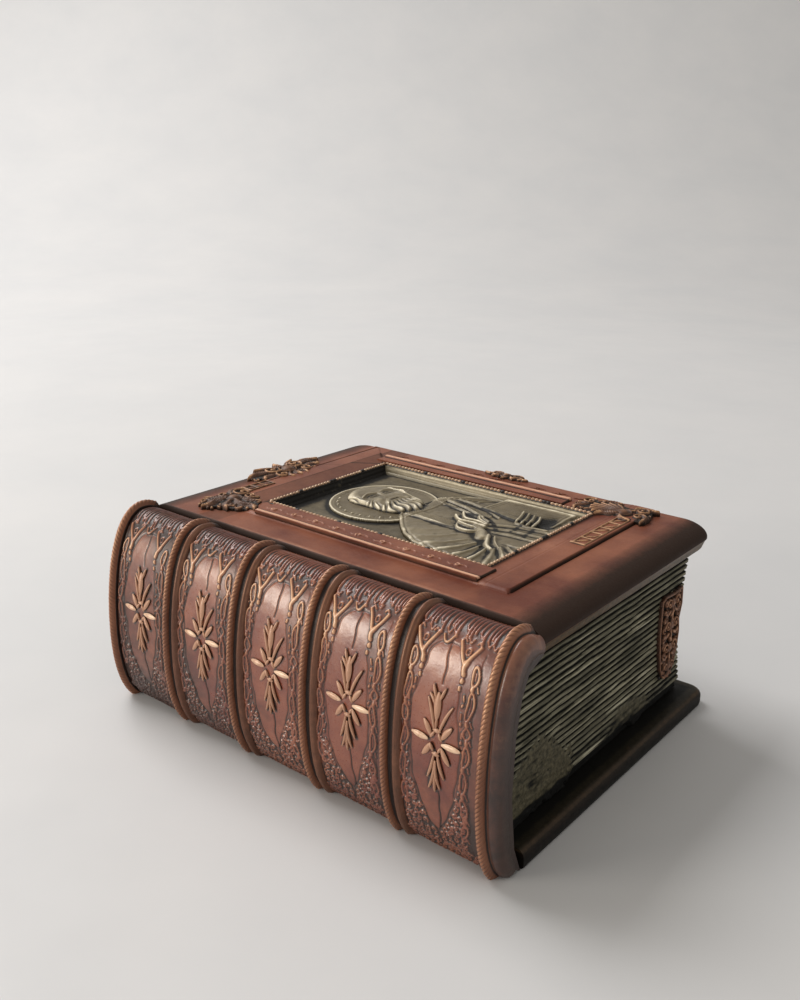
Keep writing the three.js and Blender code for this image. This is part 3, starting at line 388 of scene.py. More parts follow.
class Nodes:
    def __init__(self, name):
        self.material = bpy.data.materials.new(name)
        self.material.use_nodes = True
        self.tree = self.material.node_tree
        self.tree.nodes.clear()
        self.shader = self.tree.nodes.new("ShaderNodeBsdfPrincipled")
        output = self.tree.nodes.new("ShaderNodeOutputMaterial")
        self.tree.links.new(self.shader.outputs["BSDF"], output.inputs["Surface"])
        self.place = self.tree.nodes.new("ShaderNodeTexCoord").outputs["Object"]

    def put(self, value, target):
        """A number, a colour or another node's output as the value of a socket."""
        if isinstance(value, (int, float)):
            target.default_value = value
        elif isinstance(value, tuple):
            target.default_value = (*value, 1)
        else:
            self.tree.links.new(value, target)

    def shade(self, **values):
        """Sockets of the material's shader, named with underscores for spaces."""
        for name, value in values.items():
            self.put(value, self.shader.inputs[name.replace("_", " ")])

    def noise(self, scale, detail, roughness):
        node = self.tree.nodes.new("ShaderNodeTexNoise")
        node.inputs["Scale"].default_value = scale
        node.inputs["Detail"].default_value = detail
        node.inputs["Roughness"].default_value = roughness
        self.put(self.place, node.inputs["Vector"])
        return node.outputs["Fac"]

    def attribute(self, name):
        node = self.tree.nodes.new("ShaderNodeAttribute")
        node.attribute_name = name
        return node.outputs["Fac"]

    def math(self, operation, a, b):
        node = self.tree.nodes.new("ShaderNodeMath")
        node.operation = operation
        for socket, value in zip(node.inputs, (a, b)):
            self.put(value, socket)
        return node.outputs["Value"]

    def varied(self, value, noise, amount):
        """A value with noise of the given amount round it."""
        return self.math("ADD", value, self.math("MULTIPLY", self.math("SUBTRACT", noise, 0.5), amount))

    def ramp(self, factor, stops):
        node = self.tree.nodes.new("ShaderNodeValToRGB")
        elements = node.color_ramp.elements
        while len(elements) < len(stops):
            elements.new(0.5)
        for element, (place, value) in zip(elements, stops):
            element.position = place
            colour = value if isinstance(value, tuple) else (value, value, value)
            element.color = (*colour, 1)
        self.put(factor, node.inputs["Fac"])
        return node.outputs["Color"]

    def mix(self, factor, a, b):
        node = self.tree.nodes.new("ShaderNodeMix")
        node.data_type = "RGBA"
        for socket, value in ((0, factor), (6, a), (7, b)):
            self.put(value, node.inputs[socket])
        return node.outputs[2]

    def bump(self, height, strength, reach):
        node = self.tree.nodes.new("ShaderNodeBump")
        node.inputs["Strength"].default_value = strength
        node.inputs["Distance"].default_value = reach
        self.put(height, node.inputs["Height"])
        self.shade(Normal=node.outputs["Normal"])


def srgb(red, green, blue):
    """A colour as it is seen, from 0 to 255, as linear light."""
    return tuple(((v / 255 + 0.055) / 1.055) ** 2.4 if v > 10 else v / 255 / 12.92
                 for v in (red, green, blue))


def painted(name, colours, rough, wear_reach, specular, patch=45, metallic=0.0, grain=0.1, other=None,
            mottle=0.5):
    """Painted cast resin: two tones in soft patches, dark wash in hollows, dry-brushed ridges, and painted
    shade and highlight.

    The five colours are the two tones, the worn and the bright paint of the ridges and the dark wash.
    Other gives two more tones for the places where the attribute tone is 1.
    """
    low, high, worn, bright, dark = (srgb(*colour) for colour in colours)
    nodes = Nodes(name)
    patches = nodes.ramp(nodes.noise(patch, 5, 0.62), [(0.36, 0.0), (0.64, 1.0)])
    base = nodes.mix(patches, low, high)
    if other:
        speck = nodes.ramp(nodes.noise(900, 3, 0.75), [(0.36, 0.0), (0.66, 1.0)])
        base = nodes.mix(nodes.attribute("tone"), base, nodes.mix(speck, *(srgb(*tone) for tone in other)))
    speckle = nodes.noise(1500, 3, 0.7)
    fine = nodes.noise(420, 4, 0.7)
    stain_and_shade = nodes.ramp(nodes.varied(nodes.attribute("dirt_and_shade"), fine, mottle), [(0.12, 0.0), (0.62, 1.0)])
    rubbing_and_highlight = nodes.varied(nodes.attribute("wear_and_highlight"), fine, 0.55)
    start, end = wear_reach
    first = nodes.ramp(rubbing_and_highlight, [(start, 0.0), (end, 1.0)])
    second = nodes.ramp(rubbing_and_highlight, [(end - 0.12, 0.0), (min(end + 0.42, 1.0), 1.0)])
    coloured = nodes.mix(second, nodes.mix(first, nodes.mix(stain_and_shade, base, dark), worn), bright)
    gloss = nodes.math("ADD", nodes.math("MULTIPLY", speckle, 0.5), nodes.math("MULTIPLY", stain_and_shade, 0.4))
    nodes.shade(Base_Color=coloured, Roughness=nodes.ramp(gloss, [(0.15, rough[0]), (0.75, rough[1])]),
                Metallic=metallic, Specular_IOR_Level=specular)
    nodes.bump(nodes.math("ADD", nodes.math("MULTIPLY", speckle, 0.35), fine), grain * 3, 0.0002)
    return nodes.material


spine_paint = painted(
    "cordovan_spine", ((108, 48, 34), (146, 84, 59), (180, 122, 87), (218, 170, 130), (46, 23, 13)),
    (0.26, 0.46), (0.2, 0.8), 0.8, patch=60, other=((50, 33, 22), (72, 49, 34)))
copper = painted(
    "copper_wash", ((122, 76, 54), (148, 98, 72), (190, 138, 104), (222, 180, 142), (36, 20, 13)),
    (0.3, 0.5), (0.3, 0.85), 0.5, metallic=0.2)
bronze = painted(
    "bronze_wash", ((92, 81, 60), (130, 118, 94), (176, 164, 138), (218, 207, 182), (14, 10, 5)),
    (0.34, 0.7), (0.22, 0.75), 0.4, metallic=0.1)
gilt = painted(
    "copper_gilt", ((160, 114, 88), (180, 134, 106), (204, 158, 128), (236, 200, 168), (70, 42, 30)),
    (0.28, 0.45), (0.25, 1.0), 0.6, metallic=0.05)
bead_paint = painted(
    "copper_beads", ((84, 54, 40), (112, 76, 56), (164, 124, 96), (214, 184, 152), (24, 15, 10)),
    (0.3, 0.5), (0.3, 0.95), 0.6, metallic=0.2)
mount_paint = painted(
    "copper_mounts", ((70, 45, 31), (92, 60, 42), (132, 92, 66), (180, 138, 102), (32, 20, 12)),
    (0.42, 0.62), (0.35, 0.95), 0.35, metallic=0.1)
clasp_paint = painted(
    "copper_clasp", ((92, 58, 40), (116, 76, 52), (146, 100, 72), (186, 138, 104), (16, 10, 7)),
    (0.4, 0.6), (0.35, 0.9), 0.5, metallic=0.1)
lid_paint = painted(
    "cordovan_lid", ((100, 52, 38), (140, 86, 63), (172, 120, 94), (210, 162, 132), (44, 27, 17)),
    (0.4, 0.68), (0.28, 0.85), 0.22, patch=38, mottle=0.2, other=((64, 58, 44), (108, 84, 60)))
board_paint = painted(
    "cordovan_board", ((38, 25, 17), (54, 37, 27), (96, 76, 56), (140, 118, 90), (11, 9, 6)),
    (0.45, 0.65), (0.3, 0.85), 0.2, patch=50, other=((40, 38, 27), (60, 54, 40)))
leaf_paint = painted(
    "page_resin", ((98, 95, 78), (128, 124, 103), (168, 163, 140), (206, 201, 178), (5, 5, 3)),
    (0.55, 0.8), (0.3, 0.85), 0.25, patch=70, grain=0.3, other=((58, 55, 41), (104, 97, 76)))


def fabric(name, low, high, weave, pile):
    """Felt or flock, in two tones over a fine tuft."""
    nodes = Nodes(name)
    tuft = nodes.noise(weave, 3, 0.8)
    nodes.shade(Base_Color=nodes.mix(nodes.ramp(tuft, [(0.3, 0.0), (0.7, 1.0)]), srgb(*low), srgb(*high)),
                Roughness=nodes.ramp(nodes.noise(80, 3, 0.5), [(0.3, 0.8), (0.7, 0.95)]),
                Sheen_Weight=pile, Sheen_Roughness=0.4)
    nodes.bump(tuft, 0.6, 0.0004)
    return nodes.material


felt = fabric("dark_felt", (36, 33, 30), (58, 54, 50), 1400, 0.15)
velvet = fabric("wine_velvet", (84, 20, 28), (118, 36, 44), 1900, 0.5)
for node, material in (("felt_base_pad", felt), ("floor_lining", velvet), ("lid_lining", velvet),
                       ("lid_locating_plug", leaf_paint)):
    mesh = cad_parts[node].data
    mesh.materials.clear()
    mesh.materials.append(material)


# Spine profile: the same curve as the solid's, by its length from the seam

def bezier(corners, t):
    p = np.array(corners, float)
    t = t[:, None]
    return (1 - t) ** 3 * p[0] + 3 * (1 - t) ** 2 * t * p[1] + 3 * (1 - t) * t * t * p[2] + t ** 3 * p[3]


def lengths_along(points):
    """Length of a polyline up to each of its points."""
    return np.concatenate([[0], np.cumsum(np.linalg.norm(np.diff(points, axis=0), axis=1))])


PROFILE = [
    [(0, 61.6), (-2.167, 62.2), (-3.25, 63.6), (-6.5, 63.6)],
    [(-6.5, 63.6), (-14.374, 63.6), (-19.2, 48.228), (-19.2, 27)],
    [(-19.2, 27), (-19.2, 13.5), (-16.482, 3.51), (-11.2, 0)],
]
profile = np.concatenate([bezier(corners, np.linspace(0, 1, 400))[min(k, 1):]
                          for k, corners in enumerate(PROFILE)])
arc = lengths_along(profile)
SPINE_LENGTH = arc[-1]


def spine_point(along):
    return np.interp(along, arc, profile[:, 0]), np.interp(along, arc, profile[:, 1])


def spine_normal(along):
    """Outward normal of the profile, as y and z, eased at the seam and at the foot."""
    y0, z0 = spine_point(np.clip(along - 0.6, 0, SPINE_LENGTH))
    y1, z1 = spine_point(np.clip(along + 0.6, 0, SPINE_LENGTH))
    dy, dz = y1 - y0, z1 - z0
    length = np.hypot(dy, dz)
    return dz / length, -dy / length


def on_spine(x, along, out):
    """Points over the spine's surface, in millimetres; out may be negative for the inside."""
    y, z = spine_point(along)
    ny, nz = spine_normal(along)
    return xyz(x, SEAM_Y + y + ny * out, np.maximum(z + nz * out, 0.0))


# The shell's inner line, from the seam down to the foot, in y from the seam and z
INNER_LINE = np.array([(-0.3, 57.3), (-6.8, 54.6), (-9.4, 49.1), (-11.3, 39.3), (-11.9, 23.2), (-9.8, 8),
                       (-6.5, 0)])


def inner_line(along):
    lengths = lengths_along(INNER_LINE)
    share = np.asarray(along) / SPINE_LENGTH * lengths[-1]
    return SEAM_Y + np.interp(share, lengths, INNER_LINE[:, 0]), np.interp(share, lengths, INNER_LINE[:, 1])


# Tooling of a spine panel: raised and sunk lines, by x from the panel's middle and length along the spine

OGIVE_LEFT = curve_points(
    [(-0.4, 14.8), (-3.4, 15.4), (-5.7, 18.2), (-6.6, 22), (-7.3, 25.5), (-8.2, 30), (-8.7, 35), (-8.6, 40.5),
     (-7.8, 46.5), (-6.6, 54), (-3.4, 63), (-0.3, 66)], 60)
OGIVE_RIGHT = curve_points(
    [(-0.2, 14.8), (2.3, 15.3), (4.0, 18.2), (4.4, 22), (4.8, 27), (5.4, 31.5), (6.1, 36.5), (6.7, 43),
     (6.5, 48), (5.2, 54.5), (2.8, 61), (0.4, 66)], 60)

# Forked scroll: the points of each line, by distance outwards from its stem and length, then width and height
FORK = (
    (((0, 21.2), (0, 19.6), (0.9, 18.0)), 1.35, 0.62),
    (((0.4, 18.8), (1.9, 16.2), (3.2, 13.8)), 1.05, 0.6),
    (((0, 18.8), (-1.2, 16.4), (-2.6, 13.6)), 1.05, 0.58),
    (((-2.6, 13.6), (-1.9, 12.6), (-1.2, 13.4)), 0.6, 0.5),
    (((3.2, 13.8), (2.6, 12.6), (1.9, 13.3)), 0.6, 0.5),
)

# Lobes of a rosette: start, end, width, bend and share of wear
LOBES = (
    ((-3.0, 40.0), (-7.4, 39.6), 1.7, 0.0, 0.95), ((1.8, 40.2), (6.8, 40.1), 1.7, 0.0, 1.0),
    ((-1.9, 38.7), (-4.1, 35.4), 1.5, 0.15, 0.7), ((1.6, 38.6), (4.0, 35.2), 1.5, -0.15, 0.75),
    ((-2.0, 41.2), (-4.0, 44.4), 1.5, -0.15, 0.6), ((1.6, 41.4), (3.9, 44.7), 1.5, 0.15, 0.65),
    ((-0.9, 37.2), (-3.5, 29.4), 0.9, 0.3, 0.6), ((0.6, 37.2), (3.8, 29.9), 0.9, -0.3, 0.65),
    ((-0.6, 43.4), (-2.4, 50.2), 0.9, -0.25, 0.5), ((0.5, 43.4), (2.6, 49.2), 0.9, 0.25, 0.5),
    ((-0.6, 34.0), (-0.7, 27.8), 2.1, 0.0, 0.55), ((-1.0, 31.0), (-3.2, 28.2), 0.9, 0.2, 0.6),
    ((-1.2, 29.2), (-2.5, 25.9), 0.8, 0.0, 0.65), ((-0.1, 29.2), (1.1, 26.0), 0.8, 0.0, 0.65),
    ((-0.4, 33.9), (-0.5, 36.6), 0.8, 0.0, 0.45), ((-0.3, 45.2), (-2.0, 53.2), 0.9, -0.5, 0.45),
    ((-0.1, 45.2), (1.4, 52.4), 0.9, 0.5, 0.45), ((-0.2, 49.4), (-0.1, 53.6), 0.9, 0.0, 0.45),
    ((-0.9, 37.6), (-1.9, 39.2), 0.9, 0.0, 0.7), ((0.5, 37.6), (1.4, 39.2), 0.9, 0.0, 0.7),
    ((-1.0, 42.6), (-1.9, 41.0), 0.9, 0.0, 0.6), ((0.6, 42.6), (1.4, 41.2), 0.9, 0.0, 0.6),
    ((-1.1, 37.0), (0.8, 37.0), 1.2, 0.0, 0.8), ((-1.0, 43.2), (0.8, 43.3), 1.2, 0.0, 0.6),
)


def link_loop(x0, a0, x1, a1, width):
    """An elongated ring between two points, as a chain link."""
    t = np.linspace(0, 2 * np.pi, 18, endpoint=False)
    middle = np.array([(x0 + x1) / 2, (a0 + a1) / 2])
    axis = np.array([x1 - x0, a1 - a0])
    half = np.linalg.norm(axis) / 2
    axis /= 2 * half
    side = np.array([-axis[1], axis[0]])
    return middle + np.outer(half * np.cos(t), axis) + np.outer(width / 2 * np.sin(t), side)


def panel_tooling(x, a, seed):
    """Height of a panel's tooling over the plain surface, and the dark wash in its grooves."""
    generator = np.random.default_rng(100 + seed)
    wobble = 0.26 * np.sin(a * 0.37 + seed * 2.1) + 0.17 * np.sin(a * 0.93 + seed)
    x = x + wobble * np.clip(a / 20, 0, 1)
    rise_map = np.zeros(x.shape)
    sink_map = np.zeros(x.shape)
    dark = np.zeros(x.shape)

    def raised(points, width, rise, closed=False, outline=0.62):
        nonlocal rise_map, dark
        dist = near_distance(x, a, points, width / 2 + outline, closed)
        rise_map = np.maximum(rise_map, rise * round_bump(dist, width / 2))
        dark = np.maximum(dark, 1.15 * soft_bump(dist, width / 2 + outline))

    def sunk(points, width, depth, shade):
        nonlocal sink_map, dark
        groove = soft_bump(near_distance(x, a, points, width * 1.4), width / 2)
        sink_map = sink_map - depth * groove
        dark = np.maximum(dark, shade * groove)

    # Lens in the middle: its outline, the line down its middle and shadows round the rosette
    for edge in (OGIVE_LEFT, OGIVE_RIGHT):
        sunk(edge, 0.7, 0.2, 0.6)
    sunk([(-0.2, 15.5), (-0.4, 25.2)], 0.6, 0.25, 0.8)
    sunk([(0.6, 53.6), (0.9, 65)], 0.65, 0.35, 0.9)
    for start, end, width, _, _ in LOBES:
        sunk([start, end], width + 0.9, 0.06, 0.62)
    # Both sides: a column of links, pairs of leaves and blobs, and small marks between it and the lens
    for side, centre, edges, places in (
        (-1, -10.2, OGIVE_LEFT, (18.4, 24.9, 33.6, 39.2, 46.4, 54.9, 61.5)),
        (1, 8.4, OGIVE_RIGHT, (18.2, 24.6, 33.4, 38.0, 45.2, 52.6, 59.8, 66.0)),
    ):
        sunk([(centre + side * 1.5, 15), (centre + side * 1.5, SPINE_LENGTH - 3)], 0.45, 0.15, 0.6)
        for k, (start, end) in enumerate(zip(places[:-1], places[1:])):
            start += 0.5 * (generator.random() - 0.5)
            length = end - start - 1.5
            lean = 0.35 * math.sin(k * 2.2 + seed)
            if length > 4.2:
                loop = link_loop(centre - lean, start, centre + lean, start + length, 1.8)
                raised(loop, 0.72, 0.46, True, 0.55)
                bar = [(centre, start + 1.5), (centre + lean * 0.4, start + length - 1.5)]
                raised(bar, 0.5, 0.22, False, 0.35)
            else:
                for offset in (-0.5, 0.5):
                    leaf = [(centre + offset * 0.4, start), (centre + offset * 2.2, start + length / 2),
                            (centre + offset * 0.4, start + length)]
                    raised(curve_points(leaf, 8), 0.65, 0.4)
            raised([(centre + lean, end - 0.9), (centre + lean, end - 0.6)], 1.3, 0.55)
            raised([(centre + side * 1.0, end - 1.6), (centre + side * 1.5, end - 0.4)], 0.5, 0.35)
        for at in 26 + 4.6 * np.arange(9):
            edge = np.interp(at, edges[:, 1], edges[:, 0])
            gap = abs(centre) - 1.0 - abs(edge)
            if gap > 0.7:
                spot = edge + side * (0.55 + 0.3 * gap)
                raised([(spot, at), (spot + side * 0.15, at + 1.3)], 0.6, 0.36)
                raised([(spot + side * 0.1, at + 2.3), (spot, at + 2.7)], 0.75, 0.4)
    # Forked scrolls above the lens, with a ring between the arms of each and blobs under its stem
    for middle, side in ((-7.6, -1), (4.7, 1)):
        for points, width, rise in FORK:
            raised(curve_points([(middle + side * out, at) for out, at in points], 10), width, rise)
        raised(link_loop(middle + side * 0.3, 14.8, middle + side * 0.3, 16.5, 1.3), 0.45, 0.42, True, 0.25)
        raised([(middle, 22.6), (middle, 22.9)], 1.25, 0.55)
        raised([(middle - side * 0.2, 24.4), (middle - side * 0.2, 25.0)], 0.9, 0.45)
    raised(curve_points([(-3.3, 13.4), (-2.5, 14.9), (-1.5, 15.0), (-0.3, 13.2)], 12), 0.7, 0.55)
    # Fringe of fingers that hangs over the crest
    for k in range(19):
        top = -11.2 + k * 1.2
        reach = 10.4 + 1.2 * math.sin(k * 1.9 + seed) + 1.6 * generator.random()
        lean = 0.5 + 0.35 * math.sin(k * 1.3)
        tip = top + lean
        finger = curve_points([(top, 0.6), (top + lean * 0.4, reach * 0.5), (tip, reach)], 10)
        raised(finger, 0.75, 0.42, False, 0.3)
        if k % 2 == 1:
            raised([(tip, reach + 0.2), (tip + 0.1, reach + 0.6)], 0.95, 0.5)
        else:
            hook = curve_points([(tip, reach - 0.4), (tip + 0.8, reach + 1.2), (tip + 1.5, reach)], 8)
            raised(hook, 0.5, 0.42, False, 0.3)
    # Curls between the lens and the cords in the lower corners, and in rows at the foot
    for side, edges, outer in ((-1, OGIVE_LEFT, 11.3), (1, OGIVE_RIGHT, 10.4)):
        for k in range(9):
            cy = 54.5 + k * 2.0
            edge = np.interp(cy, edges[:, 1], edges[:, 0])
            count = int((outer - abs(edge) - 0.5) / 2.0)
            for column in range(min(count, 2 + int(k * 0.6))):
                cx = edge + side * (1.3 + 2.0 * column + 0.25 * math.sin(k * 2 + seed + column))
                turn = 0.6 * k + seed + 1.7 * column
                curl = spiral(cx, cy + 0.3 * (column % 2), 1.0, turn, 1.0, side, 12)
                raised(curl, 0.55, 0.45, False, 0.35)
    for row in range(4):
        for k in range(12):
            cx = -10.8 + k * 1.95 + (row % 2) * 0.95 + 0.3 * (generator.random() - 0.5)
            curl = spiral(cx, 70.6 + row * 2.0, 0.95, generator.random() * 6, 0.9, 1 if k % 2 else -1, 12)
            raised(curl, 0.55, 0.42, False, 0.35)
    left = np.interp(a, OGIVE_LEFT[:, 1], OGIVE_LEFT[:, 0], left=0, right=0)
    right = np.interp(a, OGIVE_RIGHT[:, 1], OGIVE_RIGHT[:, 0], left=0, right=0)
    beside = np.maximum(step_up(x - right, 0.0, 0.8), step_up(left - x, 0.0, 0.8))
    columns = beside * (0.24 + 0.2 * step_up(-a, -16, -12) + 0.2 * step_up(a, 52, 62))
    dark = np.maximum(dark, columns) * np.clip(1 - rise_map / 0.18, 0, 1)
    return np.where(rise_map > 0, rise_map, sink_map), dark


# Spine skin: a tooled outer surface that turns over rounded ends, closed by a plain inner one

def build_spine():
    step = 0.21
    length_steps = int(round(SPINE_LENGTH / step))
    along = np.linspace(0, SPINE_LENGTH, length_steps + 1)
    flat_half = 73.4
    xs = np.linspace(-flat_half, flat_half, int(round(2 * flat_half / step)) + 1)
    grid_x, grid_a = np.meshgrid(xs, along, indexing="ij")
    height = np.zeros(grid_x.shape)
    dark = np.zeros(grid_x.shape)
    for k in range(5):
        middle = (k - 2) * PANEL_PITCH
        inside = np.abs(xs - middle) <= PANEL_PITCH / 2
        height[inside], dark[inside] = panel_tooling(grid_x[inside] - middle, grid_a[inside], k)
    # The casting's own unevenness, worn paint on ridges, a painted highlight along the bright belt below the
    # crest, dark wash elsewhere
    plain = noise_field(height.shape, step, 2.5, 3) * 0.05 + noise_field(height.shape, step, 0.7, 4) * 0.02
    height = smooth(height, 0.45, 0.45)
    wear_and_highlight, dirt_and_shade = relief_masks(height, step, 0.1, 0.6, 3.4, 3.0)
    height = height + plain
    fringe = step_up(-grid_a, -13, -9)
    # Painted highlight: bright and lit lighten the paint in a belt below the crest, where light glances off
    # the spine
    bright = bell(grid_a, 20.5, 6.5)
    lit = bell(grid_a, 30, 16)
    wear_and_highlight = np.maximum(wear_and_highlight, 1.1 * np.clip(height - 0.1, 0, 0.5))
    wear_and_highlight = wear_and_highlight * (0.56 + 0.5 * bright + 0.25 * lit - 0.2 * fringe) + 0.36 * bright * (dark < 0.2)
    dirt_and_shade = np.maximum(dirt_and_shade, dark) + 0.15 * fringe * (1 - wear_and_highlight) + 0.22 * step_up(grid_a, 58, 72) * (1 - wear_and_highlight)
    # Darker towards the foot, and painted shade over the head-side panels
    dirt_and_shade += 0.1 * step_up(grid_a, 36, 56) + 0.26 * step_up(-grid_x, -10, 60)
    streaks = noise_field(height.shape, step, 3.0, 9) + 0.6 * noise_field(height.shape, step, 1.1, 10)
    dirt_and_shade += 0.1 * np.clip(streaks, -1, 1.5) * (height < 0.15)
    # Painted shade: less highlight on the head-side panels
    wear_and_highlight *= 1 - 0.28 * step_up(-grid_x, 5, 60)
    base = on_spine(grid_x, grid_a, height - 0.12)
    # Ends: over a rounded edge, then across the end face with a low step to the inner line. Each row has
    # its place in x, its share of the way to the inner line, and its wear, dirt and tone.
    inner_y, inner_z = inner_line(along)
    rows = []
    for share in np.linspace(0.12, 1, 7):
        angle = share * math.pi / 2
        x = flat_half + (HALF_SPINE - flat_half) * math.sin(angle)
        rows.append((on_spine(x, along, 0.3 - 3.0 * (1 - math.cos(angle))), 0.3, 0.18, 0.55 * share))
    edge = rows[-1][0]
    for x, share, wear_at, dirt_at, tone_at in (
        (76.3, 0.1, 0.18, 0.2, 0.6), (76.3, 0.28, 0.04, 0.25, 0.8), (76.25, 0.46, 0.2, 0.2, 0.85),
        (76.1, 0.5, 0.05, 0.55, 0.95), (75.8, 0.53, 0.0, 0.65, 1.0), (75.8, 0.75, 0.0, 0.5, 1.0),
        (75.8, 0.98, 0.0, 0.8, 1.0),
    ):
        row = edge.copy()
        row[:, 0] = x
        row[:, 1] += (inner_y - row[:, 1]) * share
        row[:, 2] += (inner_z - row[:, 2]) * share
        rows.append((row, wear_at, dirt_at, tone_at))
    tail = np.array([row[0] for row in rows])
    head = tail * [-1, 1, 1]
    shades = [np.repeat(np.array([row[k] for row in rows])[:, None], len(along), 1) for k in (1, 2, 3)]
    # Painted shade: the ends darker and less worn towards the foot
    lower = step_up(along, 12, 40)
    shades[0] = shades[0] * (1 - 0.55 * lower)
    shades[1] = shades[1] + 0.12 + 0.22 * lower
    shades[2] = np.clip(shades[2] + 0.25 * lower, 0, 1)
    rough = noise_field(shades[0].shape, 0.28, 1.2, 8) * 0.05
    top = np.concatenate([head[::-1], base, tail])
    wear_and_highlight = np.concatenate([shades[0][::-1] + rough, wear_and_highlight, shades[0] + rough])
    dirt_and_shade = np.concatenate([shades[1][::-1] - rough, dirt_and_shade, shades[1] - rough])
    tone = np.concatenate([shades[2][::-1], np.zeros(base.shape[:2]), shades[2]])
    low_y, low_z = inner_line(np.linspace(0, SPINE_LENGTH, 24))
    inner = np.stack([xyz(x, low_y, low_z) for x in (-75.4, 0, 75.4)])
    builder = Builder()
    builder.slab(top, inner, wear_and_highlight, dirt_and_shade, tone=tone)
    builder.build("spine_skin", spine_paint, "box", ["spine_shell"], 60)


# Twisted cords: bands between the panels and larger rims at the ends

def build_band(name, node, middle, cord_at, cord_radius, cord_rise, flank, mirror=1):
    """A raised band: a twisted cord, a groove and a plain flank, swept over the spine."""
    start, end = -0.4, SPINE_LENGTH
    along = np.linspace(start, end, 620)
    offsets = np.linspace(cord_at - cord_radius - 0.25, flank[-1][0], 44)
    grid_x, grid_a = np.meshgrid(offsets, along, indexing="ij")
    across = (grid_x - cord_at) / cord_radius
    cord = round_bump(across, 1.0)
    strand = (grid_a + 0.95 * cord_radius * np.arcsin(np.clip(across, -1, 1))) / 1.25
    ridge = np.abs(np.sin(np.pi * strand))
    cord_height = cord * (cord_rise - 0.22 * (1 - ridge ** 0.6))
    flank_height = np.interp(grid_x, [p[0] for p in flank], [p[1] for p in flank])
    height = np.where(np.abs(across) < 1, cord_height, flank_height)
    height = np.maximum(height, np.where(grid_x > cord_at, flank_height, -1))
    height += noise_field(height.shape, 0.16, 0.6, 11) * 0.03
    taper = np.sqrt(np.clip((grid_a - start) / 2.2, 0, 1))
    taper = taper * np.sqrt(np.clip((end + 0.3 - grid_a) / 2.5, 0, 1))
    points = on_spine(middle + mirror * grid_x, grid_a.clip(0), height * taper)
    points[..., 1] += np.where(grid_a < 0, -grid_a, 0)
    sunk = on_spine(middle + mirror * offsets[:, None], np.linspace(0, end, 60), -0.7)
    lines = 0.5 + 0.5 * np.cos((grid_x - 1.2) * 7.5)
    on_cord = np.abs(across) < 1
    wear_and_highlight = np.where(on_cord, cord ** 2 * (0.45 + 0.55 * ridge) * 0.85, 0.2 + 0.3 * lines * (grid_x > 1))
    # Painted highlight: lighter where the band crosses the spine's bright belt
    wear_and_highlight = wear_and_highlight * (0.6 + 0.4 * bell(grid_a, 20, 14))
    groove = step_up(grid_x, cord_at + cord_radius * 0.9, cord_at + cord_radius * 1.15)
    groove = groove * step_up(0.95 - grid_x, 0, 0.5) + step_up(cord_at - cord_radius - grid_x, -0.1, 0.1)
    dirt_and_shade = np.where(on_cord, (1 - ridge) ** 2 * 0.5 * cord, 0.35) + groove * 1.2
    dirt_and_shade = dirt_and_shade + 0.5 * step_up(grid_a, 4.5, 1.0)
    builder = Builder()
    builder.slab(points, sunk, wear_and_highlight, dirt_and_shade, 0.9)
    builder.build(name, copper, "box", [node], 60)


def build_bands():
    flank = [(-0.9, 0.3), (-0.5, 0.0), (0.7, 0.0), (1.0, 0.5), (1.35, 1.1), (2.0, 1.4), (2.7, 1.1),
             (3.1, 0.5), (3.35, 0.0)]
    for k in range(4):
        middle = (k - 1.5) * PANEL_PITCH
        build_band(f"raised_cord_{k + 1}", f"raised_band_{k + 1}", middle, -1.8, 1.1, 1.85, flank)
    for name, node, sign in (("rim_cord_head", "head_rim", -1), ("rim_cord_tail", "tail_rim", 1)):
        build_band(name, node, sign * RIM_X, -0.7, 1.2, 2.2, [(0.4, 0.5), (0.7, 0.1), (1.1, 0.0)], sign)


# Rosettes of slender lobes on the spine panels

def lobe(builder, start, end, width, bend, worn, middle):
    """A slender leaf of a rosette, laid along the spine's surface between two points of the panel."""
    rise, lift = 0.45, 0.22
    t = np.linspace(0.0, 1.0, 11)
    start, end = np.asarray(start, float), np.asarray(end, float)
    normal = np.array([-(end - start)[1], (end - start)[0]])
    normal /= np.linalg.norm(normal)
    flat = start + np.outer(t, end - start) + np.outer(np.sin(np.pi * t) * bend, normal)
    path = on_spine(middle + flat[:, 0], flat[:, 1], lift)
    ny, nz = spine_normal(flat[:, 1])
    normals = xyz(0, ny, nz)
    radius = width / 2 * (0.35 + 0.65 * np.sin(np.pi * np.clip(t, 0.02, 0.98)) ** 0.6)
    builder.tube(path, radius, 8, 2 * rise / width, normals, worn, 0.0)


def build_rosette(index):
    middle = (index - 3) * PANEL_PITCH
    builder = Builder()
    for numbers in LOBES:
        lobe(builder, *numbers, middle)
    builder.build(f"rosette_{index}", gilt, "box", [f"spine_rosette_{index}"])


# Page walls: leaf edges that wander round the corners, worn patches and a deep foot groove

WALL_TOP = 55.5
WALL_FOOT = 5.7
LEAF_COUNT = 24
LEAF_START = 8.9
WALL_HALF = 69.8
FORE_EDGE = 57.4
CAVITY_HALF = 64.5
CAVITY_FORE = 48.9

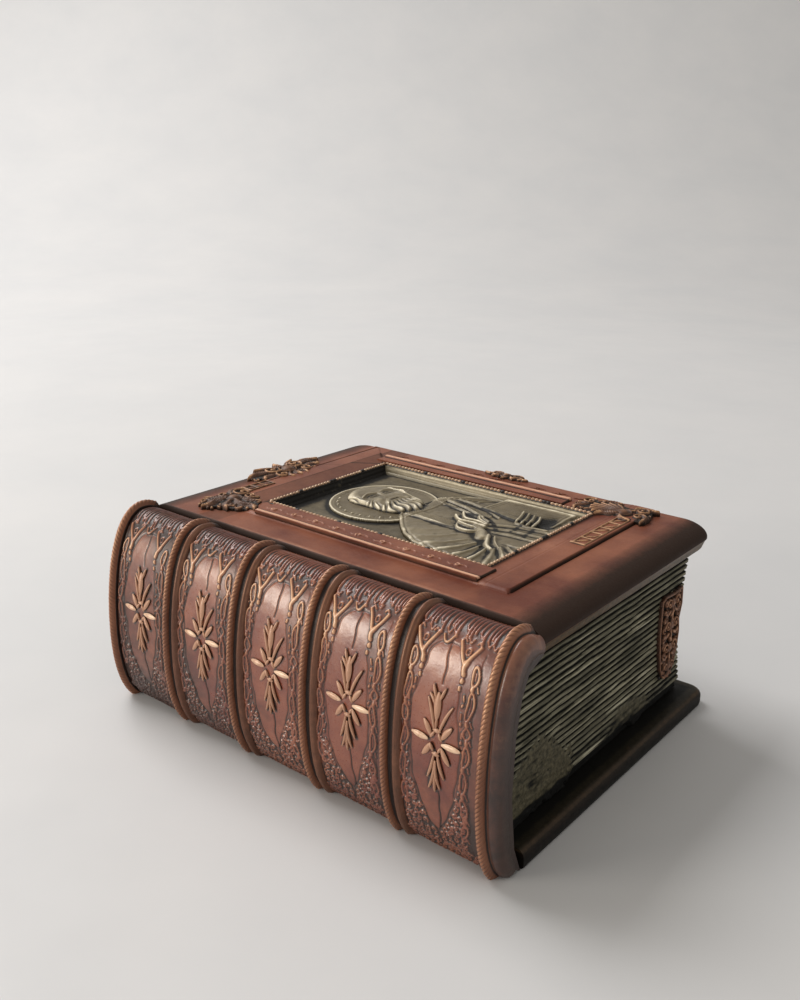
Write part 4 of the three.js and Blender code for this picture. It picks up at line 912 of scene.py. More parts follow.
# Worn patches of each wall: outline, by place along the wall and height, and strength
PATCHES = {
    1: (
        ([(-54, 22), (-44, 21), (-38, 25), (-32, 28.5), (-26, 25), (-20, 20), (-14, 16.5), (-12.5, 12),
          (-14.5, 7), (-18, 5), (-30, 5.7), (-54, 3)], 1.0),
        ([(9, 13), (14, 16.5), (22, 16.5), (28, 14.5), (33, 12.5), (33.5, 8), (29, 5.5), (25, 4.8), (21, 8.5),
          (14, 9), (9, 10)], 0.85),
        ([(-5, 17), (-1, 21), (5, 20), (6, 16), (0, 15)], 0.45),
    ),
    0: (
        ([(-48, 4), (-40, 16), (-24, 14), (-14, 6), (-22, 4)], 0.8),
        ([(20, 4), (30, 10), (44, 8), (50, 4)], 0.6),
    ),
    -1: (
        ([(-52, 3), (-44, 16), (-30, 19), (-16, 11), (-14, 4)], 0.8),
        ([(22, 4), (28, 9), (40, 8), (44, 4)], 0.6),
    ),
}


def inside_polygon(x, y, points):
    points = np.asarray(points, float)
    result = np.zeros(x.shape, bool)
    for (ax, ay), (bx, by) in zip(points, np.roll(points, -1, axis=0)):
        crosses = (ay > y) != (by > y)
        slope = (bx - ax) / (by - ay) if by != ay else 0.0
        result ^= crosses & (x < ax + (y - ay) * slope)
    return result


def patch_cover(y, z, patches, seed):
    """How far worn plaster fills the leaves, between 0 and 1, with ragged edges."""
    generator = np.random.default_rng(seed)
    cover = np.zeros(y.shape)
    for points, strength in patches:
        wobble = sum(generator.normal() * np.sin(y * f + generator.random() * 6) * np.cos(z * g)
                     for f, g in ((0.9, 0.7), (1.7, 1.3), (2.9, 2.4))) * 0.5
        gap = distance(y, z, points, True)
        signed = np.where(inside_polygon(y, z, points), gap, -gap)
        cover = np.maximum(cover, strength * step_up(signed + wobble, -0.7, 0.9))
    return cover


def leaf_relief(run, z, cover):
    """Depth of the leaf edges below their crests, and shares of wear and dirt."""
    depth = np.zeros(z.shape)
    wear_and_highlight = np.zeros(z.shape)
    lines = np.zeros(z.shape)
    pitch = (WALL_TOP - LEAF_START) / LEAF_COUNT
    generator = np.random.default_rng(21)
    drift = np.zeros(run.shape)
    gain_at = np.random.default_rng(22).random(LEAF_COUNT)
    edges = []
    for k in range(LEAF_COUNT + 1):
        waves = [(generator.normal() * 0.045, 2 * math.pi / (9 + 30 * generator.random()),
                  generator.random() * 6.3) for _ in range(4)]
        drift = 0.55 * drift + sum(size * np.sin(rate * run + phase) for size, rate, phase in waves)
        fade = min(1.0, min(k, LEAF_COUNT - k) / 2)
        edges.append(LEAF_START + k * pitch + fade * drift)
    for k in range(LEAF_COUNT):
        share = (z - edges[k]) / (edges[k + 1] - edges[k])
        leaf = (share >= 0) & (share < 1)
        body = step_up(0.5 - np.abs(share - 0.52), 0.12, 0.3)
        body = body - 0.35 * bell(share - 0.4, 0.2 * gain_at[k], 0.05)
        gain = generator.random()
        bright = 0.5 + 0.5 * np.sin(run * (0.11 + 0.12 * generator.random()) + generator.random() * 6)
        depth = np.where(leaf, (1 - body) * (0.85 + 0.3 * gain), depth)
        split = bell(share, 0.36, 0.05) + bell(share, 0.66, 0.05)
        lines = np.where(leaf, 0.42 * split * body, lines)
        wear_and_highlight = np.where(leaf, body * (0.25 + 0.5 * bright * gain), wear_and_highlight)
    foot = z < edges[0]
    depth = np.where(foot, 1.4, depth)
    wear_and_highlight = np.where(foot, 0, wear_and_highlight)
    dirt_and_shade = np.clip(depth, 0, 1) * 1.25 + lines
    return depth, wear_and_highlight * (1 - cover), dirt_and_shade


def wall_back(z):
    """Where a page end meets the spine shell, in y, for each height."""
    return SEAM_Y + np.interp(z, INNER_LINE[::-1, 1], INNER_LINE[::-1, 0]) + 0.35


def build_wall(side):
    """One page wall: side is -1 for the head, 1 for the tail and 0 for the fore-edge."""
    name = {-1: "head", 0: "fore", 1: "tail"}[side]
    hand = side or 1
    z_lines = np.linspace(WALL_FOOT, WALL_TOP, 300)
    corner = 1.3
    turn = np.linspace(0, math.pi / 4, 4)[1:]
    hollow = 4.2
    fore_y = FORE_EDGE - hollow * np.sin(math.pi * (z_lines - WALL_FOOT) / (WALL_TOP - WALL_FOOT))

    def corner_rows(angles):
        """Rows of the rounded corner between a wall and the fore-edge, as x and y."""
        across, back = np.sin(angles)[:, None], 1 - np.cos(angles)[:, None]
        return WALL_HALF - corner + corner * across + 0 * fore_y, fore_y - corner * back

    if side == 0:
        spread = np.linspace(-1, 1, 300)
        x = spread[:, None] * (WALL_HALF - corner) * np.ones(len(z_lines))
        y = np.ones(len(spread))[:, None] * fore_y
        cap_x, cap_y = corner_rows(turn)
        x = np.concatenate([-cap_x[::-1], x, cap_x])
        y = np.concatenate([cap_y[::-1], y, cap_y])
        angle = np.concatenate([-turn[::-1], np.zeros(len(spread)), turn])
    else:
        spread = np.linspace(0, 1, 230)
        back = wall_back(z_lines)
        y = back + spread[:, None] * (fore_y - corner - back)
        cap_x, cap_y = corner_rows(math.pi / 2 - turn)
        x = np.concatenate([np.full(y.shape, WALL_HALF), cap_x])
        y = np.concatenate([y, cap_y])
        angle = np.concatenate([np.full(len(spread), math.pi / 2), math.pi / 2 - turn])
    x = hand * x
    out_x = hand * np.sin(angle)[:, None]
    out_y = np.cos(angle)[:, None]
    z = np.ones(len(x))[:, None] * z_lines
    run = side * (WALL_HALF + FORE_EDGE - y) if side else x
    cover = patch_cover(y if side else x, z, PATCHES[side], 5 + side)
    depth, wear_and_highlight, dirt_and_shade = leaf_relief(run + 300, z, cover)
    step = z_lines[1] - z_lines[0]
    rough = noise_field(x.shape, step, 0.35, 31 + side) * 0.16
    rough = rough + noise_field(x.shape, step, 1.4, 41 + side) * 0.2
    streaks = smooth(np.random.default_rng(51 + side).normal(size=x.shape), 9, 0.6)
    streaks /= streaks.std() * 2
    depth = depth * (1 - cover) + (0.15 - rough) * cover + 0.1 * streaks * (1 - cover)
    depth = np.clip(smooth(depth, 0.6, 0.5), -0.05, 1.5)
    dirt_and_shade = dirt_and_shade * (1 - cover) + np.clip(-rough * 2.2 + 0.1, 0, 1) * cover
    wear_and_highlight = wear_and_highlight + 0.35 * streaks * (1 - cover) * (dirt_and_shade < 0.5)
    # Shadow under the lid, over the lowest leaves and in the groove at the foot
    shadow = 0.35 * step_up(z, 50.5, 54.5) + 0.3 * (1 - cover) * step_up(-z, -16, -9)
    shadow = shadow + 0.8 * step_up(-z, -10, -8)
    top = xyz(x - out_x * depth, y - out_y * depth, z)
    low_z = np.linspace(WALL_FOOT, WALL_TOP, 24)
    if side == 0:
        low_x = np.linspace(-CAVITY_HALF, CAVITY_HALF, 12)[:, None]
        low_y = CAVITY_FORE
    else:
        low_x = side * CAVITY_HALF
        low_y = wall_back(low_z) + np.linspace(0, 1, 8)[:, None] * (CAVITY_FORE - wall_back(low_z))
    builder = Builder()
    low = xyz(low_x, low_y, low_z)
    builder.slab(top, low, wear_and_highlight, np.clip(dirt_and_shade + shadow, 0, 1), 0.3, tone=cover)
    builder.build(f"leaf_wall_{name}", leaf_paint, "box", [f"page_wall_{name}"], 70)


def build_spine_wall():
    """The wall of the tray behind the spine shell, between the two page ends."""
    z = np.linspace(WALL_FOOT, WALL_TOP, 40)
    x = np.linspace(-64.4, 64.4, 60)[:, None]
    outer, inner = (xyz(x, y, z) for y in (wall_back(z), -39.0))
    builder = Builder()
    builder.slab(outer, inner, 0.1, 0.35, 0.3)
    builder.build("leaf_wall_spine", leaf_paint, "box", ["page_wall_spine"], 50)


# Covers

def refined(breaks, step):
    """Grid lines over a range, set closer round the given places."""
    fine, reach = 0.16, 0.5
    lines = list(np.arange(breaks[0], breaks[-1], step)) + [breaks[-1]]
    for place in breaks[1:-1]:
        lines += list(np.arange(place - reach, place + reach + fine / 2, fine))
    lines = np.unique(np.round(lines, 4))
    lines = lines[(lines >= breaks[0]) & (lines <= breaks[-1])]
    keep = np.concatenate([[True], np.diff(lines) > fine * 0.45])
    keep[-1] = True
    return lines[keep]


def shrunk(bounds, sides, back, fore):
    """A rectangle made smaller at its sides, its spine edge and its fore edge."""
    return bounds[0] + sides, bounds[1] - sides, bounds[2] + back, bounds[3] - fore


def build_back_cover():
    top = (-74.3, 74.3, -47.6, 60.9)
    outer = (-76.5, 76.5, -47.8, 63.1)
    top_z = 5.4
    rings = [(top, 3.4)]
    for share in np.linspace(0.16, 1, 6):
        angle = share * math.pi / 2
        grown = 2.2 * math.sin(angle)
        worn = 0.5 * math.exp(-((share - 0.4) / 0.3) ** 2)
        rings.append((shrunk(top, -grown, -0.2 * share, -grown), 3.4 + 1.6 * share,
                      top_z - 2.2 * (1 - math.cos(angle)), worn, 0.1 + 0.45 * share, 0.75 * (1 - share)))
    rings.append((outer, 5.0, 1.6, 0.0, 0.6, 0.0))
    for share in (0.35, 0.7, 1.0):
        angle = share * math.pi / 2
        inset = 1.3 * (1 - math.cos(angle))
        rings.append((shrunk(outer, inset, 0.1, inset), 5.0 - inset * 0.5, 1.3 - 1.3 * math.sin(angle),
                      0.1, 0.6, 0.0))
    felt_pocket = (-69.8, 69.8, -41.1, 56.4)
    rings.append((felt_pocket, 2.0, 0.0, 0.0, 0.5, 0.0))
    rings.append((felt_pocket, 2.0, 1.1, 0.0, 0.8, 0.0))
    lines_x = refined([top[0], top[1]], 0.8)
    lines_y = refined([top[2], top[3]], 0.8)
    rough = noise_field((len(lines_x), len(lines_y)), 0.8, 3, 61)
    finer = noise_field((len(lines_x), len(lines_y)), 0.8, 0.9, 62)

    def surface(x, y):
        out = np.maximum(np.abs(x) - top[1], y - top[3])
        wear_and_highlight = bell(out, -0.3, 0.7) * 0.3 + 0.1 * finer
        return top_z + 0.06 * rough + 0.03 * finer, wear_and_highlight, 0.35 + 0.5 * step_up(-out, 1, 3.5), 0.8

    builder = Builder()
    builder.board(lines_x, lines_y, surface, rings, (-60, 60, -34, 50, 1.1))
    builder.build("cover_board", board_paint, "box", ["back_cover"], 50)


PLINTH = (-62.5, 56.5, -29.3, 57.2)
RECESS = (-43.0, 42.4, -17.2, 39.6)
LID_TOP = 63.4
PLINTH_TOP = 64.0


def outside(x, y, bounds):
    """Signed distance to a rectangle, positive outside it."""
    x0, x1, y0, y1 = bounds
    return np.maximum(np.maximum(x0 - x, x - x1), np.maximum(y0 - y, y - y1))


def build_lid_board():
    top = (-66.6, 66.6, -40.1, 57.5)
    nose = 59.4
    underside = 55.8
    recess_floor = 59.4
    groove_x = -61.0
    head_outer, head_inner = -53.3, -44.4
    tail_inner, tail_outer = 44.6, 49.2
    rings = [(top, 1.0)]
    for share in np.linspace(0.1, 1, 9):
        angle = share * math.pi / 2
        grown = math.sin(angle)
        bounds = shrunk(top, -8.6 * grown, -1.2 * min(1, share * 1.6), -1.6 * grown)
        z = LID_TOP - (LID_TOP - nose) * (1 - math.cos(angle))
        dark = 0.4 + 0.34 * min(1.0, share * 2.2)
        rings.append((bounds, 1.0 + 4.0 * share ** 0.7, z, 0.12 * (1 - share), dark, 0.0))
    outer = rings[-1][0]
    for inset, z, wear_and_highlight, dirt_and_shade, tone in (
        (0.1, 59.15, 0.25, 0.1, 0.5), (0.35, 58.9, 0.05, 0.1, 1.0), (0.8, 57.6, 0.05, 0.1, 1.0),
        (1.2, 56.4, 0.05, 0.1, 1.0), (1.5, 55.95, 0.05, 0.5, 1.0),
    ):
        rings.append((shrunk(outer, inset, 0, inset), 5.0 - inset * 0.4, z, wear_and_highlight, dirt_and_shade, tone))
    rings.append((shrunk(outer, 1.8, 0, 1.8), 4.0, underside, 0.0, 0.5, 0.6))
    breaks_x = [top[0], PLINTH[0], groove_x, head_outer, *RECESS[:2], tail_outer, PLINTH[1], top[1]]
    breaks_y = [top[2], PLINTH[2], *RECESS[2:], 41.8, top[3]]
    lines_x = refined(breaks_x, 0.55)
    lines_y = refined(breaks_y, 0.55)
    shape = (len(lines_x), len(lines_y))
    swell = noise_field(shape, 0.5, 9, 71) * 0.06 + noise_field(shape, 0.5, 2.2, 72) * 0.025

    def surface(x, y):
        out = outside(x, y, PLINTH)
        wall = outside(x, y, RECESS)
        spine_side = step_up(-y, 27.5, 28.5)
        z = LID_TOP + swell + (PLINTH_TOP - LID_TOP) * step_up(-out, -0.12, 0.3 + 1.1 * spine_side)
        # Grooves round the raised field and along its head side
        z -= 0.35 * bell(out, 0.12, 0.2) * ((y < 56) * (1 - spine_side))
        z -= 0.35 * bell(x, groove_x, 0.24) * (out < -0.5)
        # Sloping members of the picture's frame at the head and the tail, and a pad under the fore mount
        at_head = (x < head_inner) & (x > head_outer)
        mitred = at_head & (y < 40.4 - (x - head_inner)) & (y > -18.4 + (x - head_inner))
        z += np.where(mitred, 0.62 * np.clip((head_inner - x) / 8.8, 0, 1) - 0.06, 0.0)
        tail = np.clip((x - tail_inner) / 4.6, 0, 1)
        z += 0.42 * tail * (x > tail_inner) * (out < 0) - 0.1 * bell(x, tail_outer, 0.3) * (out < 0)
        pad = np.clip((y - 41.9) / 1.5, 0, 1) * step_up(-y, -50.2, -48.2) * ((x > 31) & (x < 44))
        z += 0.3 * pad * (out < 0)
        z = np.where(wall < -0.05, recess_floor, z)
        dirt_and_shade = 0.75 * bell(out, 0.15, 0.35) * ((y < 57) * (1 - spine_side))
        grooves = 0.55 * bell(x, groove_x, 0.4) * (out < 0)
        dirt_and_shade += grooves + 0.3 * bell(x, head_outer, 0.4) * (out < 0)
        mitre = 0.4 * bell(np.abs(y - 40.4) + x, head_inner, 0.5) * (x < -44)
        # Painted shade over the sloping head member of the frame
        dirt_and_shade += 0.3 * at_head + mitre
        dirt_and_shade += np.where(wall < 0, 0.9, 0.0) + 0.45 * bell(wall, 1.2, 1.0) * (wall > 0)
        dirt_and_shade += 0.36 * step_up(np.abs(x), 62.8, 66.7) + 0.1 * swell
        wear_and_highlight = 0.12 * bell(out, -0.3, 0.35) + 0.45 * step_up(-y, 38.0, 40) + 3 * swell
        # Painted highlight on the tail member of the frame, which slopes up towards the light
        wear_and_highlight += 0.28 * step_up(x, 44.8, 45.6) * step_up(-x, -49.6, -48.8) * (out < 0)
        return z, wear_and_highlight, dirt_and_shade, 0.0

    builder = Builder()
    builder.board(lines_x, lines_y, surface, rings, (-60, 60, -34, 50, underside))
    builder.build("lid_panel", lid_paint, "lid", ["lid_board"], 50)


# Rails, beads and mounts on the lid

class Carving:
    """A height field over a rectangle, on which lines, leaves and bosses are raised."""

    def __init__(self, x0, x1, y0, y1, step):
        self.step = step
        xs = np.linspace(x0, x1, int(round((x1 - x0) / step)) + 1)
        ys = np.linspace(y0, y1, int(round((y1 - y0) / step)) + 1)
        self.x, self.y = np.meshgrid(xs, ys, indexing="ij")
        self.height = np.zeros(self.x.shape)
        self.dark = np.zeros(self.x.shape)

    def shade(self, points, width, amount):
        """Darker paint along a path, used for painted shade and shadows and for darker tones."""
        region, gap, _, _, _ = self.path(points, width)
        self.dark[region] = np.maximum(self.dark[region], amount * soft_bump(gap, width / 2))

    def near(self, points, reach):
        low = np.min(points, axis=0) - reach
        high = np.max(points, axis=0) + reach
        first = np.clip(np.searchsorted(self.x[:, 0], [low[0], high[0]]), 0, self.x.shape[0])
        second = np.clip(np.searchsorted(self.y[0], [low[1], high[1]]), 0, self.x.shape[1])
        return slice(first[0], first[1] + 1), slice(second[0], second[1] + 1)

    def path(self, points, reach):
        """For grid points close to a path: their region, distance, share along it and side."""
        points = np.asarray(points, float)
        region = self.near(points, reach)
        x, y = self.x[region], self.y[region]
        best = np.full(x.shape, 1e6)
        share = np.zeros(x.shape)
        sign = np.zeros(x.shape)
        lengths = np.linalg.norm(np.diff(points, axis=0), axis=1)
        starts = np.concatenate([[0], np.cumsum(lengths)])
        for (ax, ay), (bx, by), start, length in zip(points[:-1], points[1:], starts, lengths):
            if length < 1e-6:
                continue
            dx, dy = (bx - ax) / length, (by - ay) / length
            t = np.clip((x - ax) * dx + (y - ay) * dy, 0, length)
            gap = np.hypot(x - ax - t * dx, y - ay - t * dy)
            closer = gap < best
            best = np.where(closer, gap, best)
            share = np.where(closer, (start + t) / starts[-1], share)
            sign = np.where(closer, np.sign((x - ax) * dy - (y - ay) * dx), sign)
        return region, best, share, sign, starts[-1]

    def lift(self, region, value, add=False):
        if add:
            self.height[region] += value
        else:
            self.height[region] = np.maximum(self.height[region], value)

    def line(self, points, width, rise, end_width=None, add=False):
        end_width = width if end_width is None else end_width
        region, gap, share, _, _ = self.path(points, max(width, end_width))
        half = (width + (end_width - width) * share) / 2
        value = rise * (soft_bump(gap, half * 1.3) if add else round_bump(gap, half))
        self.lift(region, value, add)

    def leaf(self, points, width, rise):
        """A pointed leaf along a path, with a midrib and slanting veins."""
        region, gap, share, _, length = self.path(points, width)
        half = width / 2 * np.sin(np.pi * np.clip(share, 0.03, 0.97) ** 0.85) ** 0.8 + 0.05
        body = round_bump(gap, half)
        vein = 0.5 + 0.5 * np.cos(2 * np.pi * (share * length + gap * 0.9) / 0.9)
        rib = 0.3 * rise * bell(gap, 0, 0.22) * (body > 0)
        self.lift(region, rise * body * (0.7 + 0.3 * vein * (gap > 0.25)) + rib)

    def boss(self, cx, cy, radius, rise, ring=0.0):
        region = self.near([(cx, cy)], radius * 1.3)
        gap = np.hypot(self.x[region] - cx, self.y[region] - cy)
        self.lift(region, rise * round_bump(gap, radius))
        if ring:
            self.lift(region, ring * round_bump(gap - radius * 1.05, 0.35))

    def scroll(self, cx, cy, radius, turn, hand, width, rise, turns=1.3):
        self.line(spiral(cx, cy, radius, turn, turns, hand, 22), width, rise, width * 0.7)
        self.boss(cx, cy, width * 0.75, rise)

    def decorate(self, scrolls, leaves, bosses):
        """Scrolls, leaves along knots and bosses, each given by its numbers."""
        for numbers in scrolls:
            self.scroll(*numbers)
        for knots, count, width, rise in leaves:
            self.leaf(curve_points(knots, count), width, rise)
        for numbers in bosses:
            self.boss(*numbers)

    def finish(self, builder, base, low, threshold, wear_gain=3.0, dirt_gain=3.2, blur=0.5, extra=0.25,
               keep=None, far=0.9):
        height = smooth(self.height, blur, blur)
        wear_and_highlight, dirt_and_shade = relief_masks(height, self.step, 0.12, far, wear_gain, dirt_gain)
        keep = (height > threshold) if keep is None else keep
        top = xyz(self.x, self.y, base + height)
        bottom = xyz(self.x, self.y, low)
        dirt_and_shade = dirt_and_shade + extra * (height < threshold * 3) + self.dark
        builder.masked(top, keep, bottom, wear_and_highlight, dirt_and_shade)


def draw_curls(carve, places, at, tip, sizes, thin):
    """A row of small curls, each with a tendril to both sides."""
    for k, x in enumerate(places):
        curl = spiral(x, at, 1.0, 0.4 + k, 1.1, 1 if k % 2 else -1, 14)
        after = curve_points([(x + 0.6, at + 0.4), (x + 2.2, at + 0.9), (x + 3.6, at + tip)], 10)
        before = curve_points([(x - 0.9, at), (x - 2.2, at - 0.5), (x - 3.2, at + 0.2)], 10)
        for points, (width, rise), end in zip((curl, after, before), sizes, (None, thin, thin)):
            carve.line(points, width, rise, end)


def build_rail(name, node, x0, x1, y0, y1, curls_at, ridge_side):
    """A flat moulding with a rounded ridge along its outer side, and small curls on it or beside it."""
    step = 0.2
    rail_top, rail_foot = 64.75, 63.85
    carve = Carving(x0, x1, y0, y1, step)
    ridge_y = y0 + 0.7 if ridge_side < 0 else y1 - 0.7
    across = np.abs(carve.y - ridge_y)
    carve.height += 0.06 * noise_field(carve.height.shape, step, 2.4, len(name))
    carve.height += 0.3 * round_bump(across, 0.75) + 0.22 * step_up(0.9 - across, 0, 0.2)
    carve.height -= 0.22 * bell(across, 1.25, 0.35)
    if ridge_side < 0:
        places = np.arange(x0 + 4, x1 - 2, 9.0)
        draw_curls(carve, places, curls_at, 0.2, ((0.55, 0.45), (0.5, 0.38), (0.45, 0.34)), 0.2)
    height = np.clip(smooth(carve.height, 0.5, 0.5), -0.3, 0.42)
    wear_and_highlight, dirt_and_shade = relief_masks(height, step, 0.12, 0.9, 4.0, 3.0)
    wear_and_highlight = wear_and_highlight + 0.75 * round_bump(across, 0.8)
    dirt_and_shade = dirt_and_shade + 0.2 * bell(across, 1.3, 0.5) + 0.7 * step_up(carve.x, x1 - 0.9, x1 - 0.2)
    half = (x1 - x0) / 2
    height = rail_top + height - 0.4 * step_up(np.abs(carve.x - (x0 + x1) / 2), half - 0.3, half)
    low_x, low_y = np.meshgrid(np.linspace(x0, x1, 12), np.linspace(y0, y1, 3), indexing="ij")
    builder = Builder()
    builder.slab(xyz(carve.x, carve.y, height), xyz(low_x, low_y, rail_foot), wear_and_highlight, dirt_and_shade)
    if ridge_side > 0:
        curls = Carving(x0, x1 + 4, 49.6, 53.4, step)
        places = np.arange(x0 + 4, x1 + 2, 8.6)
        draw_curls(curls, places, curls_at, 0, ((0.6, 0.5), (0.6, 0.45), (0.55, 0.4)), 0.3)
        curls.finish(builder, rail_foot, LID_TOP, 0.16, 1.6, 2.0)
    builder.build(name, lid_paint, "lid", [node])


def build_beads(name, node, start, end, knots):
    """A row of beads on a low bar, with a darker knot now and then."""
    start, end = np.array(start, float), np.array(end, float)
    length = np.linalg.norm(end - start)
    along = (end - start) / length
    pitch, bead_radius = 1.5, 0.56
    bar_z, bead_z = 64.0, 64.42
    count = int(round(length / pitch))
    up = (0.0, 0.0, 1.0)
    builder = Builder()
    bar = [(*(start + along * t), bar_z) for t in np.linspace(0.4, length - 0.4, 40)]
    builder.tube(bar, 0.6, 8, 0.6, up, 0.0, 0.9)
    for k in range(count):
        at = (k + 0.5) / count * length
        knot = any(abs(at - place) < 0.85 for place in knots)
        centre = start + along * at
        half = 0.5 if knot else 0.3
        path = [(*(centre + along * t), bead_z) for t in np.linspace(-half, half, 4)]
        radius = bead_radius * np.array([0.8, 1, 1, 0.8]) * (1.12 if knot else 1.0)
        builder.tube(path, radius, 9, 0.95, up, 0.1 if knot else 0.9, 0.7 if knot else 0.0)
    builder.build(name, bead_paint, "lid", [node])


# Cast mounts: scrolls, leaves and bosses

MOUNT_TOP = 65.75


def build_mount(name, node, area, draw, plate, base=63.75, low=63.3):
    """A cast mount: its drawn parts over a low plate that is filled with small dark scrolls."""
    step = 0.19
    plate_rise = 0.62
    carve = Carving(*area, step)
    draw(carve)
    edge = distance(carve.x, carve.y, plate, True) + 0.5 * noise_field(carve.x.shape, step, 0.9, 17)
    under = inside_polygon(carve.x, carve.y, plate) & (edge > 0.5) & (carve.height < plate_rise)
    carve.dark += np.where(under, 0.75, 0)
    carve.height = np.where(under, plate_rise, carve.height)
    rows, columns = carve.x.shape
    for k in range(44):
        x = carve.x[(37 * k * k + 11 * k) % rows, 0]
        y = carve.y[0, (53 * k + 7 * k * k) % columns]
        if inside_polygon(np.array([x]), np.array([y]), plate)[0]:
            carve.scroll(x, y, 1.0, k, 1 if k % 2 else -1, 0.55, 1.05, 1.1)
    carve.height += 0.05 * noise_field(carve.height.shape, step, 0.5, len(name)) * (carve.height > 0.2)
    carve.height = np.minimum(carve.height, MOUNT_TOP - base)
    builder = Builder()
    carve.finish(builder, base, low, 0.14)
    builder.build(name, mount_paint, "lid", [node])


def draw_ladder(carve, x0, x1, y0, y1, cells, lift):
    """A low lattice strip: two rails, cross-bars and a slanting leaf in each cell."""
    pitch = (y1 - y0) / cells
    for x in (x0 + 0.45, x1 - 0.45):
        carve.line([(x, y0), (x, y1)], 0.8, 0.62 + lift)
    for k in range(cells + 1):
        y = y0 + k * pitch
        carve.line([(x0 + 0.3, y), (x1 - 0.3, y)], 0.8 if k else 1.3, (0.6 if k else 0.75) + lift)
        if k < cells:
            bend = ((x0 + x1) / 2 - 0.9 * (-1) ** k, y + pitch * 0.5)
            carve.leaf([(x0 + 0.8, y + 0.6), bend, (x1 - 0.8, y + pitch - 0.6)], 1.3, 0.5 + lift)
    carve.shade([(x0 + 2, y0 + 2), (x1 - 2, y1)], 2.2 * (x1 - x0), 0.3)


def draw_corner_spine(carve):
    carve.decorate((
        (-56.2, -18.6, 3.6, 2.4, 1, 1.1, 1.6), (-51.4, -19.4, 2.6, 0.4, -1, 1.0, 1.5),
        (-58.9, -24.6, 2.5, 1.2, -1, 1.0, 1.4), (-49.4, -29.4, 1.9, 3.4, 1, 0.8, 1.3),
        (-59.2, -32.6, 1.8, 0.4, 1, 0.8, 1.2), (-46.4, -29.6, 1.5, 1.4, -1, 0.7, 1.1),
    ), (
        ([(-52.6, -25.4), (-48, -26.6), (-44, -25.8), (-41.1, -27.4)], 20, 5.2, 1.5),
        ([(-53.2, -22.6), (-49, -22.4), (-45.6, -20.4)], 16, 3.6, 1.3),
        ([(-55.4, -26.6), (-56.6, -30.4), (-55.4, -33.4), (-55.9, -36.6)], 20, 4.8, 1.5),
        ([(-56.6, -25.4), (-59.6, -28.4), (-61.6, -30.6)], 16, 3.4, 1.3),
        ([(-53.2, -26.8), (-51, -30.6), (-48.4, -32.6)], 16, 3.8, 1.4),
        ([(-58, -21.8), (-60.6, -20), (-61.6, -16.8)], 16, 2.8, 1.2),
    ), ((-54.2, -24.4, 2.5, 1.9, 1.3),))
    for k in range(5):
        carve.boss(-52.4 + 2.2 * k, -31.8 + 0.9 * k, 0.75, 1.2)
        carve.boss(-58.6 + 1.4 * k, -35.2 + 0.3 * math.sin(k * 2), 0.6, 0.9)
    draw_ladder(carve, -61.5, -56.5, -14.6, -3.4, 3, 0.15)


def draw_corner_fore(carve):
    cx, cy = 50.4, 45.6
    for k in range(7):
        turn = math.radians(118 + 15 * k)
        reach = 9.2 - 0.5 * abs(k - 3)
        tip = (cx + reach * math.cos(turn) * 1.3, cy + reach * math.sin(turn) * 0.95)
        middle = (cx + reach * 0.55 * math.cos(turn - 0.16) * 1.3, cy + reach * 0.55 * math.sin(turn - 0.16))
        carve.line(curve_points([(cx, cy), middle, tip], 14), 1.5, 1.5, 0.9)
    carve.decorate((
        (54.9, 50.6, 2.9, 2.8, -1, 1.0, 1.7), (56.2, 45.6, 2.2, 0.4, 1, 0.9, 1.5),
        (36.4, 50.4, 2.7, 1.2, 1, 0.9, 1.4), (35.0, 46.2, 1.9, 2.4, -1, 0.8, 1.2),
    ), (
        ([(51.8, 48.6), (55.2, 52.8), (59.2, 54.2)], 18, 3.4, 1.6),
        ([(56.4, 48.4), (58.6, 45.4), (58.6, 41.4)], 18, 3.0, 1.5),
        ([(49.4, 44.6), (45.2, 43.2), (43.4, 40.2)], 18, 4.2, 1.7),
        ([(50.4, 43.8), (52.2, 41.6), (55.4, 40.8)], 16, 3.2, 1.6),
        ([(46.6, 45.4), (41.6, 44.6), (38.4, 42.4)], 16, 2.6, 1.2),
        ([(37.4, 48), (34.6, 43.6), (35.8, 40.8)], 16, 2.6, 1.2),
        ([(38.8, 51.6), (42.4, 54.2), (46.6, 54.4)], 16, 2.6, 1.3),
    ), [(50.2, 46.6, 2.6, 1.95, 1.4)] + [(40.6 + 2.1 * k, 52.4 - 0.2 * k, 0.8, 1.3) for k in range(4)])
    draw_ladder(carve, 50.7, 55.7, 12.7, 41.2, 5, 0.5)


def draw_side_head(carve):
    middle = 11.2
    for side in (-1, 1):
        leaves = (
            ([(-66.6, 7), (-69, 11.4), (-67.2, 17.4)], 20, 4.4, 1.8),
            ([(-63.6, 6.6), (-64.6, 11), (-62.4, 13.6)], 18, 3.4, 1.5),
            ([(-68.4, 2.6), (-71.4, 6.4), (-72.8, 9.6)], 16, 3.0, 1.7),
            ([(-62.6, 1.2), (-60.2, 3.6), (-57.8, 3.2)], 14, 2.4, 1.4),
        )
        carve.decorate((
            (-67.6, middle + side * 5.6, 3.2, -0.6 * side, side, 1.2, 2.0),
            (-62.0, middle + side * 5.4, 2.6, 3.0, -side, 1.0, 1.7),
        ), [([(x, middle + side * y) for x, y in knots], *numbers) for knots, *numbers in leaves],
            ((-69.6, middle + side * 12.6, 1.1, 1.5),))
    carve.decorate((), (
        ([(-63, middle), (-60.4, 11.4), (-57.6, middle)], 16, 3.6, 1.6),
        ([(-67.2, middle), (-70.4, 11.0), (-73, middle)], 16, 3.8, 1.9),
    ), ((-65.2, middle, 3.0, 2.3, 1.8),))


